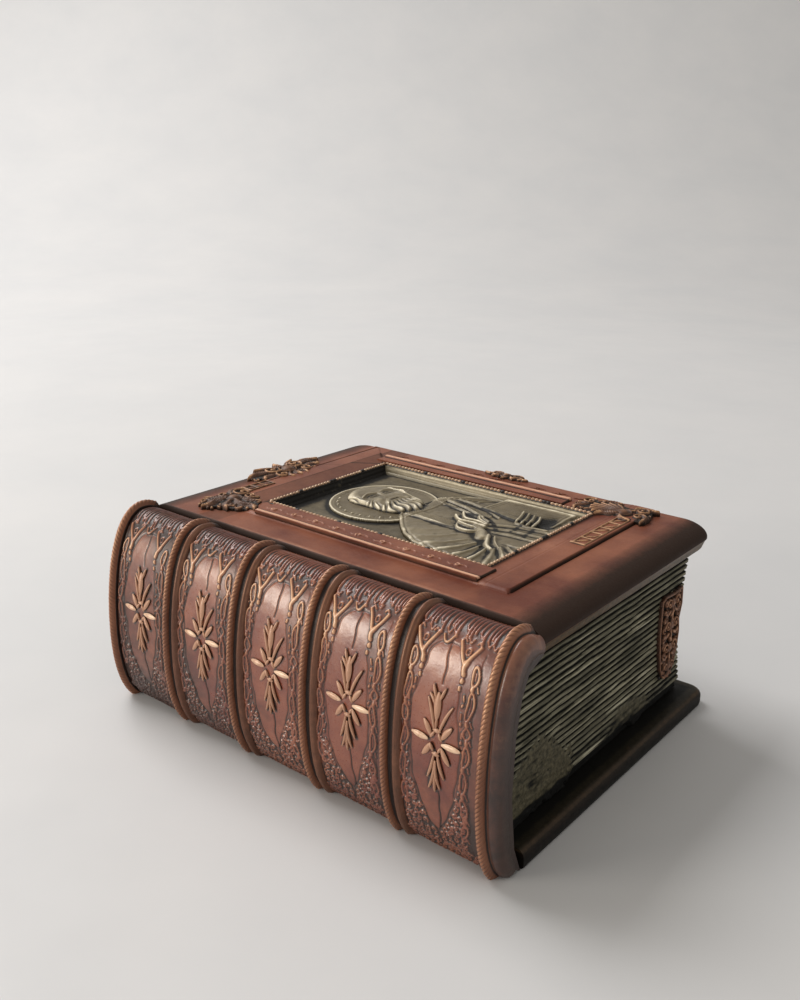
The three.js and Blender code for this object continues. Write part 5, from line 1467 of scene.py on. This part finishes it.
def draw_side_fore(carve):
    middle = -0.3
    for side in (-1, 1):
        leaves = (([(4.6, 56.4), (7, 55.2), (9, 55.8)], 16, 2.0, 1.2),
                  ([(1.6, 56.8), (4, 58.2), (6.4, 57.6)], 14, 1.5, 1.1))
        carve.decorate(((middle + side * 3.4, 55.4, 1.7, 1.6 - 1.6 * side, -side, 0.8, 1.4),),
                       [([(middle + side * x, y) for x, y in knots], *numbers) for knots, *numbers in leaves],
                       ())
    carve.decorate((), (([(middle, 54.4), (middle, 53.2), (middle, 52.2)], 10, 1.9, 1.2),),
                   ((middle, 55.6, 1.7, 1.6, 1.2),))


def build_mounts():
    build_mount("mount_corner_spine", "corner_mount_spine", (-62.2, -40.6, -37, -3), draw_corner_spine,
                [(-61.5, -17), (-58, -15.5), (-50, -16.5), (-45, -20), (-41.5, -25), (-42, -28.4),
                 (-47, -31.5), (-52, -33.5), (-55.5, -36.5), (-58, -34.5), (-61.6, -31), (-61.8, -24)])
    build_mount("mount_corner_fore", "corner_mount_fore", (32.2, 59.6, 12.0, 54.9), draw_corner_fore,
                [(34, 43.4), (38, 41.8), (45, 40.6), (50, 41.4), (58.4, 41.6), (59.2, 48), (58, 54),
                 (50, 53.4), (44, 54.5), (36, 53), (33.4, 48)])
    build_mount("mount_side_head", "side_mount_head", (-73.3, -57.2, -6.8, 29.2), draw_side_head,
                [(-72.3, 11), (-71.5, 3), (-69, -4), (-65.5, -5.8), (-62.5, -1), (-60, 5), (-58.2, 11.2),
                 (-60, 17), (-62.5, 24), (-65.5, 28.4), (-69, 26), (-71.5, 19)], 63.2, 62.3)
    build_mount("mount_side_fore", "side_mount_fore", (-9.6, 9.0, 51.9, 59.2), draw_side_fore,
                [(-7.6, 55), (-3, 53.4), (2.6, 53.4), (7, 55), (5, 57.8), (-5.6, 57.8)], 63.9, 62.6)


# Clasp plate: pierced scrollwork on the tail page wall

def build_clasp():
    step = 0.17
    back_x, plate_x, face_x = 69.4, 70.12, 70.35
    carve = Carving(35.6, 52.2, 14.3, 44.3, step)
    middle = 43.8
    outline = [(36.8, 42.6), (39, 43.4), (45, 42.9), (50.6, 43.4), (50.9, 38), (49.4, 33.4), (50.2, 28.6),
               (49.4, 22.6), (47.8, 18.2), (45.6, 15.6), (42.6, 15.0), (40.2, 16.4), (38.8, 19.2),
               (37.6, 24.4), (36.6, 32)]
    carve.line(outline + outline[:1], 0.8, 0.5)
    for k in range(9):
        z = 41.6 - 3.0 * k
        narrow = 1.0 if z > 24 else 0.72
        for side in (-1, 1):
            y = middle + side * (4.4 + 0.5 * math.sin(2.3 * k)) * narrow
            carve.scroll(y, z, 1.25, 2.1 * k + side, side, 0.6, 0.75)
        carve.leaf([(middle + 1.2 * math.sin(k), z - 0.6), (middle - 1.4 * math.sin(k), z - 2.4)], 1.5, 0.9)
    for z in (40.6, 33.0, 25.4, 18.8):
        scale = 1.0 if z > 22 else 0.75
        for side in (-1, 1):
            carve.scroll(middle + side * 2.6 * scale, z, 1.9 * scale, 1.5 - 1.5 * side, side, 0.7, 0.95)
            carve.leaf(curve_points([(middle + side * 1.2, z - 2.4), (middle + side * 3.4 * scale, z - 3.4),
                                     (middle + side * 5.0 * scale, z - 2.2)], 14), 1.4, 0.8)
        carve.boss(middle, z - 0.2, 1.2, 1.05, 0.7)
        carve.line([(middle, z - 1.5), (middle + 0.3, z - 3.7), (middle, z - 5.6)], 0.9, 0.8)
    for k in range(16):
        carve.boss(38.9 + 3.2 * (k % 4), 42.0 - 1.7 * k, 0.65, 0.7)
    inside = inside_polygon(carve.x, carve.y, outline)
    rim = distance(carve.x, carve.y, outline, True) < 0.5
    height = smooth(carve.height, 0.5, 0.5)
    wear_and_highlight, dirt_and_shade = relief_masks(height, step, 0.12, 0.8, 3.0, 3.0)
    keep = (inside & (height >= 0.1)) | rim
    top = xyz(face_x + np.clip(height, 0.2, 1.25), carve.x, carve.y)
    builder = Builder()
    builder.masked(top, keep, xyz(back_x, carve.x, carve.y), wear_and_highlight, dirt_and_shade + 0.2)
    # A plate behind the pierced work, narrower towards its foot, painted near black as shade in the openings
    y, z = np.meshgrid(np.linspace(37.0, 50.2, 30), np.linspace(15.6, 42.6, 40), indexing="ij")
    plate = xyz(plate_x, middle + (y - middle) * (1 - 0.34 * step_up(-z, -34, -15)), z)
    builder.slab(plate, plate[::29, ::39] - [0.9, 0, 0], 0.0, 0.95, 0.9)
    builder.build("clasp_filigree", clasp_paint, "box", ["clasp_plate"])


# Relief picture: ground with a stepped moulding, halo and robed figure

GROUND = 61.1
HALO = (-19.0, 10.7, 18.6)


def build_ground():
    x0, x1, y0, y1 = RECESS[0] + 0.08, RECESS[1] - 0.08, RECESS[2] + 0.08, RECESS[3] - 0.08
    near = np.array([0, 0.12, 0.3, 0.34, 0.5, 0.8, 0.86, 1.0, 1.3, 1.6])
    xs = np.concatenate([x0 + near, np.linspace(x0 + 2.1, x1 - 2.1, 190), x1 - near[::-1]])
    ys = np.concatenate([y0 + near, np.linspace(y0 + 2.1, y1 - 2.1, 120), y1 - near[::-1]])
    x, y = np.meshgrid(xs, ys, indexing="ij")
    gap = np.minimum(np.minimum(x - x0, x1 - x), np.minimum(y - y0, y1 - y))
    z = np.interp(gap, [0, 0.3, 0.34, 0.8, 0.86, 1.3, 1.6], [63.95, 63.9, 63.2, 62.6, 61.9, 61.7, GROUND])
    z = z + 0.05 * noise_field(x.shape, 0.45, 1.3, 81)
    fore = (y1 - y < 1.7) & (np.minimum(x - x0, x1 - x) > y1 - y)
    wear_and_highlight = np.where(fore, 0.36, 0.12) * (gap < 1.7) + 0.3 * (np.abs(gap - 0.3) < 0.06) * fore
    wear_and_highlight = wear_and_highlight + 0.12 * blob(x, y, -20, 11, 30, 24)
    dirt_and_shade = np.where(gap < 1.7, np.where(fore, 0.0, 0.5), 0.3) + 0.5 * bell(gap, 1.8, 0.8)
    # Painted shadow of the head wall over the head end of the ground
    dirt_and_shade += 0.7 * step_up(-x, 36, 41) * ~fore
    dirt_and_shade += 0.45 * bell(np.hypot(x - HALO[0], y - HALO[1]) - HALO[2], 0.5, 1.1)
    low = xyz(x[::21, ::14], y[::21, ::14], 59.55)
    low[-1, :, 0], low[:, -1, 1] = x1, y1
    builder = Builder()
    builder.slab(xyz(x, y, z), low, wear_and_highlight, dirt_and_shade)
    builder.build("relief_ground", bronze, "lid", ["relief_plaque"])


def build_halo():
    cx, cy, radius = HALO
    carve = Carving(cx - radius - 0.4, cx + radius + 0.4, cy - radius - 0.4, cy + radius + 0.4, 0.24)
    gap = np.hypot(carve.x - cx, carve.y - cy)
    inside = gap < radius
    carve.height = np.where(inside, 0.75 + 0.2 * np.sqrt(np.clip(1 - (gap / radius) ** 2, 0, 1)), 0.0)
    carve.height += 0.22 * round_bump(gap - radius + 0.5, 0.4) + 0.12 * round_bump(gap - radius + 1.8, 0.38)
    turn = np.arctan2(carve.y - cy, carve.x - cx)
    carve.height -= 0.12 * (np.abs(gap - radius + 3.2) < 0.9) * (0.5 + 0.5 * np.cos(turn * 64)) ** 3
    for angle in np.radians(205 + 12.5 * np.arange(12)):
        carve.boss(cx + 15.6 * math.cos(angle), cy + 15.6 * math.sin(angle), 0.55, 1.35)
    carve.height = np.where(inside, carve.height, 0)
    builder = Builder()
    carve.finish(builder, GROUND, GROUND - 0.15, 0.3, 3.2, 3.0, 0.4, 0.0, inside)
    builder.build("halo_disc", bronze, "lid", ["relief_halo"])


def draw_head(carve):
    """A calm, plain bearded head of regular proportions, with the crown towards the halo's far side."""
    hx, hy, tilt, size = -18.8, 11.8, math.radians(-8), 1.2
    dx, dy = (carve.x - hx) / size, (carve.y - hy) / size
    p = dx * math.cos(tilt) + dy * math.sin(tilt)
    q = -dx * math.sin(tilt) + dy * math.cos(tilt)
    half = np.interp(p, [-12.6, -9, -5, 0, 4, 7, 10, 13.2], [6.2, 8.0, 8.5, 8.0, 7.4, 6.8, 5.2, 2.4])
    crown = np.clip(1 - np.clip((-p - 5.5) / 7.2, 0, 1) ** 2, 0, 1)
    ends = crown * np.clip(1 - np.clip((p - 9) / 4.6, 0, 1) ** 2, 0, 1)
    side = np.clip(1 - (q / (half * np.sqrt(ends) + 1e-6)) ** 2, 0, 1)
    inside = (side > 0) & (ends > 0)
    dome = 0.9 + 2.1 * np.sqrt(side) * ends ** 0.4
    detail = np.zeros(p.shape)

    def dab(cp, cq, rp, rq, rise):
        nonlocal detail
        detail = detail + rise * blob(p, q, cp, cq, rp, rq)

    def stroke(points, width, rise):
        nonlocal detail
        detail = detail + rise * soft_bump(near_distance(p, q, points, width), width / 2)

    # On both sides: eye, lids, brow, cheek, nostril, moustache and ear; then nose, mouth and lower lip
    for s in (-1, 1):
        dab(-2.6, 2.9 * s, 1.15, 1.8, -0.6)
        dab(-2.5, 2.9 * s, 0.65, 1.2, 0.55)
        stroke(curve_points([(-2.4, 1.3 * s), (-3.3, 2.9 * s), (-2.3, 4.6 * s)], 12), 0.6, 0.22)
        stroke(curve_points([(-1.9, 1.4 * s), (-1.5, 2.9 * s), (-2.0, 4.4 * s)], 12), 0.45, 0.16)
        stroke(curve_points([(-3.9, 0.9 * s), (-4.9, 3.0 * s), (-4.0, 5.3 * s)], 12), 0.95, 0.34)
        dab(0.4, 3.8 * s, 2.0, 1.6, 0.28)
        dab(0.9, 0.75 * s, 0.5, 0.55, 0.32)
        for k in range(4):
            whisker = [(1.9 + 0.25 * k, 0.25 * s), (2.5 + 0.3 * k, 2.2 * s), (4.2 + 0.35 * k, 3.9 * s)]
            stroke(curve_points(whisker, 12), 0.55, 0.3)
        dab(-1.6, 7.5 * s, 1.7, 0.7, 0.5)
    stroke([(-4.0, 0), (-1.5, 0), (0.8, 0)], 1.5, 0.62)
    dab(0.8, 0, 0.7, 0.7, 0.28)
    stroke([(3.35, -1.3), (3.45, 0), (3.35, 1.3)], 0.5, -0.35)
    dab(4.1, 0, 0.4, 1.0, 0.2)
    # Beard and side hair as wavy locks
    fan = np.arctan2(q, p + 6) * 13
    locks = np.cos(2 * np.pi * (fan * 0.62 + 0.22 * np.sin(p * 1.1)))
    beard = step_up(p, 4.2, 5.6) + step_up(np.abs(q), 5.0, 6.0) * step_up(p, -1.5, 1)
    detail += 0.26 * locks * np.clip(beard, 0, 1)
    strands = np.cos(2 * np.pi * (np.abs(q) * 0.85 + 0.25 * np.sin(p * 0.9)))
    sides = step_up(np.abs(q), 5.9, 6.7) * step_up(-p, -1, 1) * step_up(p, -9.5, -7)
    detail += 0.28 * strands * sides
    height = np.where(inside, np.minimum(dome + detail * 1.35, 3.15), 0)
    shown = inside & (height > carve.height)
    carve.height = np.where(shown, height, carve.height)
    hollows = sum(blob(p, q, -2.6, 2.9 * s, 1.1, 1.9) for s in (-1, 1)) * 0.16
    hollows += 0.4 * np.clip(-locks, 0, 1) * np.clip(beard, 0, 1) + 0.45 * np.clip(-strands, 0, 1) * sides
    hollows += 0.45 * blob(p, q, 3.4, 0, 0.35, 1.4)
    hollows += sum(0.5 * blob(p, q, at, 2.9 * s, 0.22, 1.3) for s in (-1, 1) for at in (-3.3, -1.75))
    hollows += 0.5 * step_up(np.sqrt(np.clip(1 - side, 0, 1)), 0.86, 1.0)
    carve.dark = np.where(shown, hollows, carve.dark)
    return inside


ROBE = [(-8.6, 8), (-7.5, 4.2), (-4.4, 0.6), (-0.4, -4.0), (4.6, -8.6), (11, -12.4), (20, -14.8), (31, -16.2),
        (42.1, -16.8), (42.1, 39.2), (30, 39.2), (19, 38.6), (9, 36.8), (0, 34.2), (-4.4, 29.4), (-7.4, 24),
        (-8.6, 17)]

# Palm, four fingers and thumb of the raised hand: points, width and height
HAND = (
    ([(25.6, 3.4), (22.4, 7.2), (18.8, 10.2)], 6.0, 2.75),
    ([(21.6, 10.6), (17.2, 11.0), (12.2, 10.6), (8.4, 13.6)], 1.7, 3.05),
    ([(20.8, 12.2), (16.6, 13.2), (12.4, 13.2), (8.8, 17.2)], 1.7, 3.0),
    ([(20.6, 13.4), (16.8, 15.2), (14.6, 17.6)], 1.6, 2.8),
    ([(20.2, 8.2), (16.2, 8.4), (12.4, 9.4)], 1.6, 2.9),
    ([(22.6, 6.4), (19.4, 4.6), (15.6, 4.8), (13.4, 7.2)], 1.6, 2.8),
)


def draw_robe(carve):
    inside = inside_polygon(carve.x, carve.y, ROBE)
    gap = distance(carve.x, carve.y, ROBE[:9] + [(60, -16.8), (60, 39.2)] + ROBE[10:], True)
    rise = 0.85 + 1.0 * np.sqrt(np.clip(1 - (1 - np.clip(gap / 9, 0, 1)) ** 2, 0, 1))
    carve.height = np.where(inside, rise, 0)
    carve.height -= 0.3 * inside * soft_bump(gap - 1.5, 0.5)
    weave = np.cos(carve.x * 5.6) * np.cos(carve.y * 5.6)

    def fold(points, count, widths, lift, shift, amount):
        """A fold added to the cloth, given its two widths, with a shadow of a third width beside it."""
        line = curve_points(points, count)
        carve.line(line, widths[0], lift, widths[1], add=True)
        carve.shade(line + np.array(shift), widths[2], amount)

    # Stole: two broad bands from the neck and one across the shoulders
    for points, count, width in (
        ([(-6.4, 24.5), (1, 21.6), (8, 20.4), (16, 18.8)], 24, 5.0),
        ([(-6.6, 7.0), (0, 6.4), (9, 6.0), (19, 6.6)], 24, 5.0),
        ([(-5.2, 1.5), (-3.6, 10), (-3.2, 16), (-4.8, 27)], 26, 4.4),
    ):
        region, near, _, _, _ = carve.path(curve_points(points, count), width)
        carve.height[region] += 0.16 * (near < width / 2) + 0.12 * round_bump(near - width / 2 + 0.3, 0.34)
        carve.height[region] += 0.09 * weave[region] * (near < width / 2 - 0.45)
    # Folds of the sleeve on the spine side
    for start, end, width, lift in (
        ((3, -6), (14, 1.5), 2.4, 0.08), ((9, -9.5), (19, -1), 2.2, 0.12), ((15, -12), (24, -2.5), 2.0, 0.2),
        ((21, -14), (28, -3.4), 1.7, 0.34), ((27, -15), (30.6, -4.2), 1.6, 0.3),
        ((33, -15.5), (33, -4.4), 1.4, 0.38), ((39, -15.4), (35, -3.6), 1.6, 0.3),
        ((41.6, -9), (36, -2), 1.3, 0.36), ((41.8, -3), (37, 0.2), 1.3, 0.3),
        ((41.6, 3), (36, 1.8), 1.2, 0.24),
    ):
        middle = ((start[0] + end[0]) / 2 + 0.8, (start[1] + end[1]) / 2 - 0.9)
        fold([start, middle, end], 14, (width * 1.3, width * 0.7, 1.6), lift * 1.7, (-1.35, -0.6), 1.3 * lift)
    # Smooth lower sleeve between the hand and the book, with three long folds
    for points in ([(21, 9), (29, 12), (40, 13.5)], [(22, 13), (30, 16.5), (41, 18)],
                   [(27, 8), (35, 9), (41.8, 9)]):
        fold(points, 14, (1.8, 0.9, 1.5), 0.4, (0.4, -1.2), 0.5)
    # Ridges from the shoulder to the hand, and the gathered cloth on the fore shoulder
    for points, width, lift in (
        ([(-1.5, 23.4), (9, 20.4), (20.5, 14.8)], 1.7, 0.5),
        ([(0.5, 20.6), (10, 17.8), (17, 15.6)], 1.2, 0.3),
        ([(0, 27.4), (10, 25.2), (21, 20.0)], 1.5, 0.42), ([(-1, 5.0), (9, 3.6), (21, 3.4)], 1.4, 0.4),
    ):
        fold(points, 16, (width, width * 0.7, 1.5), lift, (-0.2, -1.3), 0.6)
    for k in range(5):
        arc_points = [(-2.2 + 2.2 * k, 27.6 + 0.4 * k), (0.4 + 2.2 * k, 31.4 + 0.3 * k),
                      (4.6 + 2.4 * k, 33.4 + 0.4 * k)]
        fold(arc_points, 12, (1.1, 0.7, 1.0), 0.34, (0.8, -0.6), 0.5)
    # Shadows at the shoulders and the neck, beside the stole and round the hand
    for points, width, amount in (
        ([(-5.8, 0.2), (0, -3.6), (6, -8)], 1.0, 0.6), ([(-8.0, 26), (-7.6, 17), (-7.4, 9)], 4.2, 0.9),
        ([(2, 24.6), (10, 23), (17, 21)], 1.5, 0.55), ([(-2, 3.2), (8, 3.0), (20, 3.6)], 1.4, 0.55),
        ([(11, 16.4), (17, 17.4), (23, 13.6), (27.5, 8.5)], 2.6, 0.85),
    ):
        carve.shade(curve_points(points, 14), width, amount)
    # Cuff and raised hand, with painted shadows beside them
    place = np.array([1.1, -1.4])
    cuff = curve_points([(26.4, 5.6), (28.4, 2.0), (30.8, -1.8), (33.6, -3.8)], 16) + place
    carve.shade(cuff + np.array([-1.9, -0.9]), 2.2, 0.95)
    carve.line(cuff, 2.4, 2.75)
    carve.line(curve_points([(28.6, 5.8), (31.6, 1.6), (35, -1.6)], 14) + place, 1.2, 2.55)
    hand = [(curve_points(points, 18) + place, width, rise) for points, width, rise in HAND]
    for points, width, _ in hand:
        carve.shade(points + np.array([0.2, -1.0]), width * 1.4, 0.8)
    for points, width, rise in hand:
        region, gap, _, _, _ = carve.path(points, width)
        carve.dark[region] = np.where(gap < width * 0.42, 0, carve.dark[region])
        carve.line(points, width, rise, width * 0.8)
    # Book held on the other side, with the fingers that hold it, painted shadows beside them and painted
    # shade in the hollow beyond
    corners = [(11.4, 24.0), (25.6, 20.6), (38.4, 23.6), (38.8, 37.4), (13.0, 36.8)]
    book = inside_polygon(carve.x, carve.y, corners)
    gap = distance(carve.x, carve.y, corners, True)
    cover = 2.25 + 0.22 * round_bump(gap - 0.6, 0.5) + 0.14 * round_bump(gap - 2.0, 0.35)
    cover += 0.1 * np.cos(carve.x * 4.4 + carve.y * 1.6) * np.cos(carve.y * 4.4) * (gap > 2.4)
    carve.height = np.where(book, np.maximum(cover, 0), carve.height)
    carve.shade(corners[:3], 2.4, 0.8)
    hollow = blob(carve.x, carve.y, 35.2, 25, 3.2, 5)
    carve.height -= 1.1 * hollow * inside
    carve.dark = np.maximum(carve.dark, 1.1 * hollow)
    carve.shade([(30, 19), (30.5, 12)], 2.0, 0.8)
    carve.shade([(35, 18), (36, 10)], 2.4, 0.7)
    for k in range(4):
        start = (24.4 + 2.2 * k, 28.8 - 0.2 * k)
        end = (27.2 + 2.1 * k, 20.0 - 0.2 * k)
        finger = curve_points([start, ((start[0] + end[0]) / 2 + 0.3, 24.4), end], 12)
        carve.shade(finger + np.array([1.1, 0]), 1.2, 1.0)
        carve.line(finger, 1.5, 2.95 - 0.1 * k, 1.4)
    carve.line(curve_points([(28, 19.2), (33, 18.4), (38.6, 19.4)], 12), 3.0, 2.3, 2.4)
    return inside


def build_figure():
    step = 0.21
    carve = Carving(-33.6, 42.1, -16.8, 39.2, step)
    robe = draw_robe(carve)
    neck = np.exp(-((np.hypot(carve.x + 7.5, (carve.y - 12) * 0.45) / 3.4) ** 4))
    carve.height -= 0.5 * neck * robe
    head = draw_head(carve)
    carve.height += 0.06 * noise_field(carve.height.shape, step, 0.6, 91)
    carve.height = np.minimum(carve.height, 3.2)
    builder = Builder()
    carve.finish(builder, GROUND, GROUND - 0.12, 0.2, 1.7, 2.2, 0.55, 0.0, robe | head, 1.7)
    builder.build("robed_figure", bronze, "lid", ["relief_figure"])


build_spine()
build_bands()
for rosette in range(1, 6):
    build_rosette(rosette)
for wall_side in (1, 0, -1):
    build_wall(wall_side)
build_spine_wall()
build_back_cover()
build_lid_board()
build_rail("rail_moulding_spine", "frame_rail_spine", -39.6, 46.5, -28.8, -19.5, -24.2, -1)
build_rail("rail_moulding_fore", "frame_rail_fore", -48.9, 31.0, 41.9, 47.7, 51.4, 1)
build_beads("bead_row_spine", "bead_strip_spine", (-43.0, -18.9), (42.4, -18.9), (13.2, 30.4, 47.6, 65.8))
build_beads("bead_row_fore", "bead_strip_fore", (-43.0, 40.0), (42.4, 40.0), (18.2, 35.2, 51.8, 69))
build_beads("bead_row_head", "bead_strip_head", (-43.1, -18.6), (-43.1, 39.8), (14, 30, 46))
build_beads("bead_row_tail", "bead_strip_tail", (42.9, -18.6), (42.9, 39.8), (14, 30, 46))
build_mounts()
build_clasp()
build_ground()
build_halo()
build_figure()


# Camera at the photograph's viewing angle

def make_camera():
    """The photograph's camera: focal length and middle in pixels, place in millimetres."""
    width, height = 800, 1000
    focal, middle_x, middle_y = 1027.135, 401.904, 449.987
    place = Vector((190.665, -239.218, 171.095)) * MM
    azimuth, elevation, roll = (math.radians(v) for v in (39.0036, 15.5771, 0.6476))
    back = Vector((math.sin(azimuth) * math.cos(elevation), -math.cos(azimuth) * math.cos(elevation),
                   math.sin(elevation)))
    right = Vector((0, 0, 1)).cross(back).normalized()
    up = back.cross(right)
    rolled_right = math.cos(roll) * right + math.sin(roll) * up
    rolled_up = -math.sin(roll) * right + math.cos(roll) * up
    data = bpy.data.cameras.new("camera")
    camera = bpy.data.objects.new("camera", data)
    bpy.context.scene.collection.objects.link(camera)
    turn = Matrix((rolled_right, rolled_up, back)).transposed().to_4x4()
    camera.matrix_world = Matrix.Translation(place) @ turn
    data.sensor_width = 36
    data.lens = focal / height * 36
    data.shift_x = (width / 2 - middle_x) / height
    data.shift_y = -(height / 2 - middle_y) / height
    data.clip_start = 0.01
    data.clip_end = 20
    bpy.context.scene.camera = camera


make_camera()


# Floor, backdrop and light

def make_stage():
    nodes = Nodes("floor_stone")
    cloud = nodes.noise(9, 5, 0.6)
    colour = nodes.ramp(cloud, [(0.3, srgb(203, 203, 204)), (0.7, srgb(209, 208, 208))])
    nodes.shade(Base_Color=colour, Roughness=nodes.ramp(nodes.noise(30, 3, 0.5), [(0.3, 0.5), (0.7, 0.62)]))
    # A sweep: flat under the box and far to the front, curved up behind it as the camera sees it
    facing = math.radians(39)
    bend_start, bend = 0.9, 1.1
    turns = [t * math.pi / 16 for t in range(1, 9)]
    run = [-4.0, bend_start] + [bend_start + bend * math.sin(t) for t in turns] + [bend_start + bend]
    rise = [0.0, 0.0] + [bend * (1 - math.cos(t)) for t in turns] + [4.0]
    points = []
    for across in (-4.0, 4.0):
        for along, height in zip(run, rise):
            points.append((across * math.cos(facing) - along * math.sin(facing),
                           across * math.sin(facing) + along * math.cos(facing), height))
    count = len(run)
    mesh = bpy.data.meshes.new("floor")
    mesh.from_pydata(points, [], [(k, count + k, count + k + 1, k + 1) for k in range(count - 1)])
    for face in mesh.polygons:
        face.use_smooth = True
    mesh.materials.append(nodes.material)
    floor = bpy.data.objects.new("floor", mesh)
    bpy.context.scene.collection.objects.link(floor)


def make_lamp(name, place, size, power, colour=(1, 1, 1)):
    data = bpy.data.lights.new(name, "AREA")
    data.shape = "RECTANGLE"
    data.size, data.size_y = size
    data.energy = power
    data.color = colour
    lamp = bpy.data.objects.new(name, data)
    bpy.context.scene.collection.objects.link(lamp)
    lamp.location = place
    lamp.rotation_euler = (Vector((0, 0, 0.03)) - Vector(place)).to_track_quat("-Z", "Y").to_euler()


def make_world():
    world = bpy.data.worlds.new("studio")
    bpy.context.scene.world = world
    world.use_nodes = True
    tree = world.node_tree
    tree.nodes.clear()
    output = tree.nodes.new("ShaderNodeOutputWorld")
    light = tree.nodes.new("ShaderNodeBackground")
    light.inputs["Color"].default_value = (1.0, 0.965, 0.905, 1)
    light.inputs["Strength"].default_value = 0.5
    shown = tree.nodes.new("ShaderNodeBackground")
    shown.inputs["Color"].default_value = (*srgb(214, 214, 208), 1)
    shown.inputs["Strength"].default_value = 1.0
    path = tree.nodes.new("ShaderNodeLightPath")
    mixer = tree.nodes.new("ShaderNodeMixShader")
    tree.links.new(path.outputs["Is Camera Ray"], mixer.inputs[0])
    tree.links.new(light.outputs[0], mixer.inputs[1])
    tree.links.new(shown.outputs[0], mixer.inputs[2])
    tree.links.new(mixer.outputs[0], output.inputs[0])


make_stage()
make_world()
make_lamp("window", (-1.3, -0.02, 1.5), (1.2, 1.3), 31.5, (1.0, 0.99, 0.98))
make_lamp("room", (-0.66, -0.98, 0.26), (0.46, 0.26), 5.8, (1.0, 0.93, 0.83))
bpy.context.scene.view_settings.view_transform = "Standard"
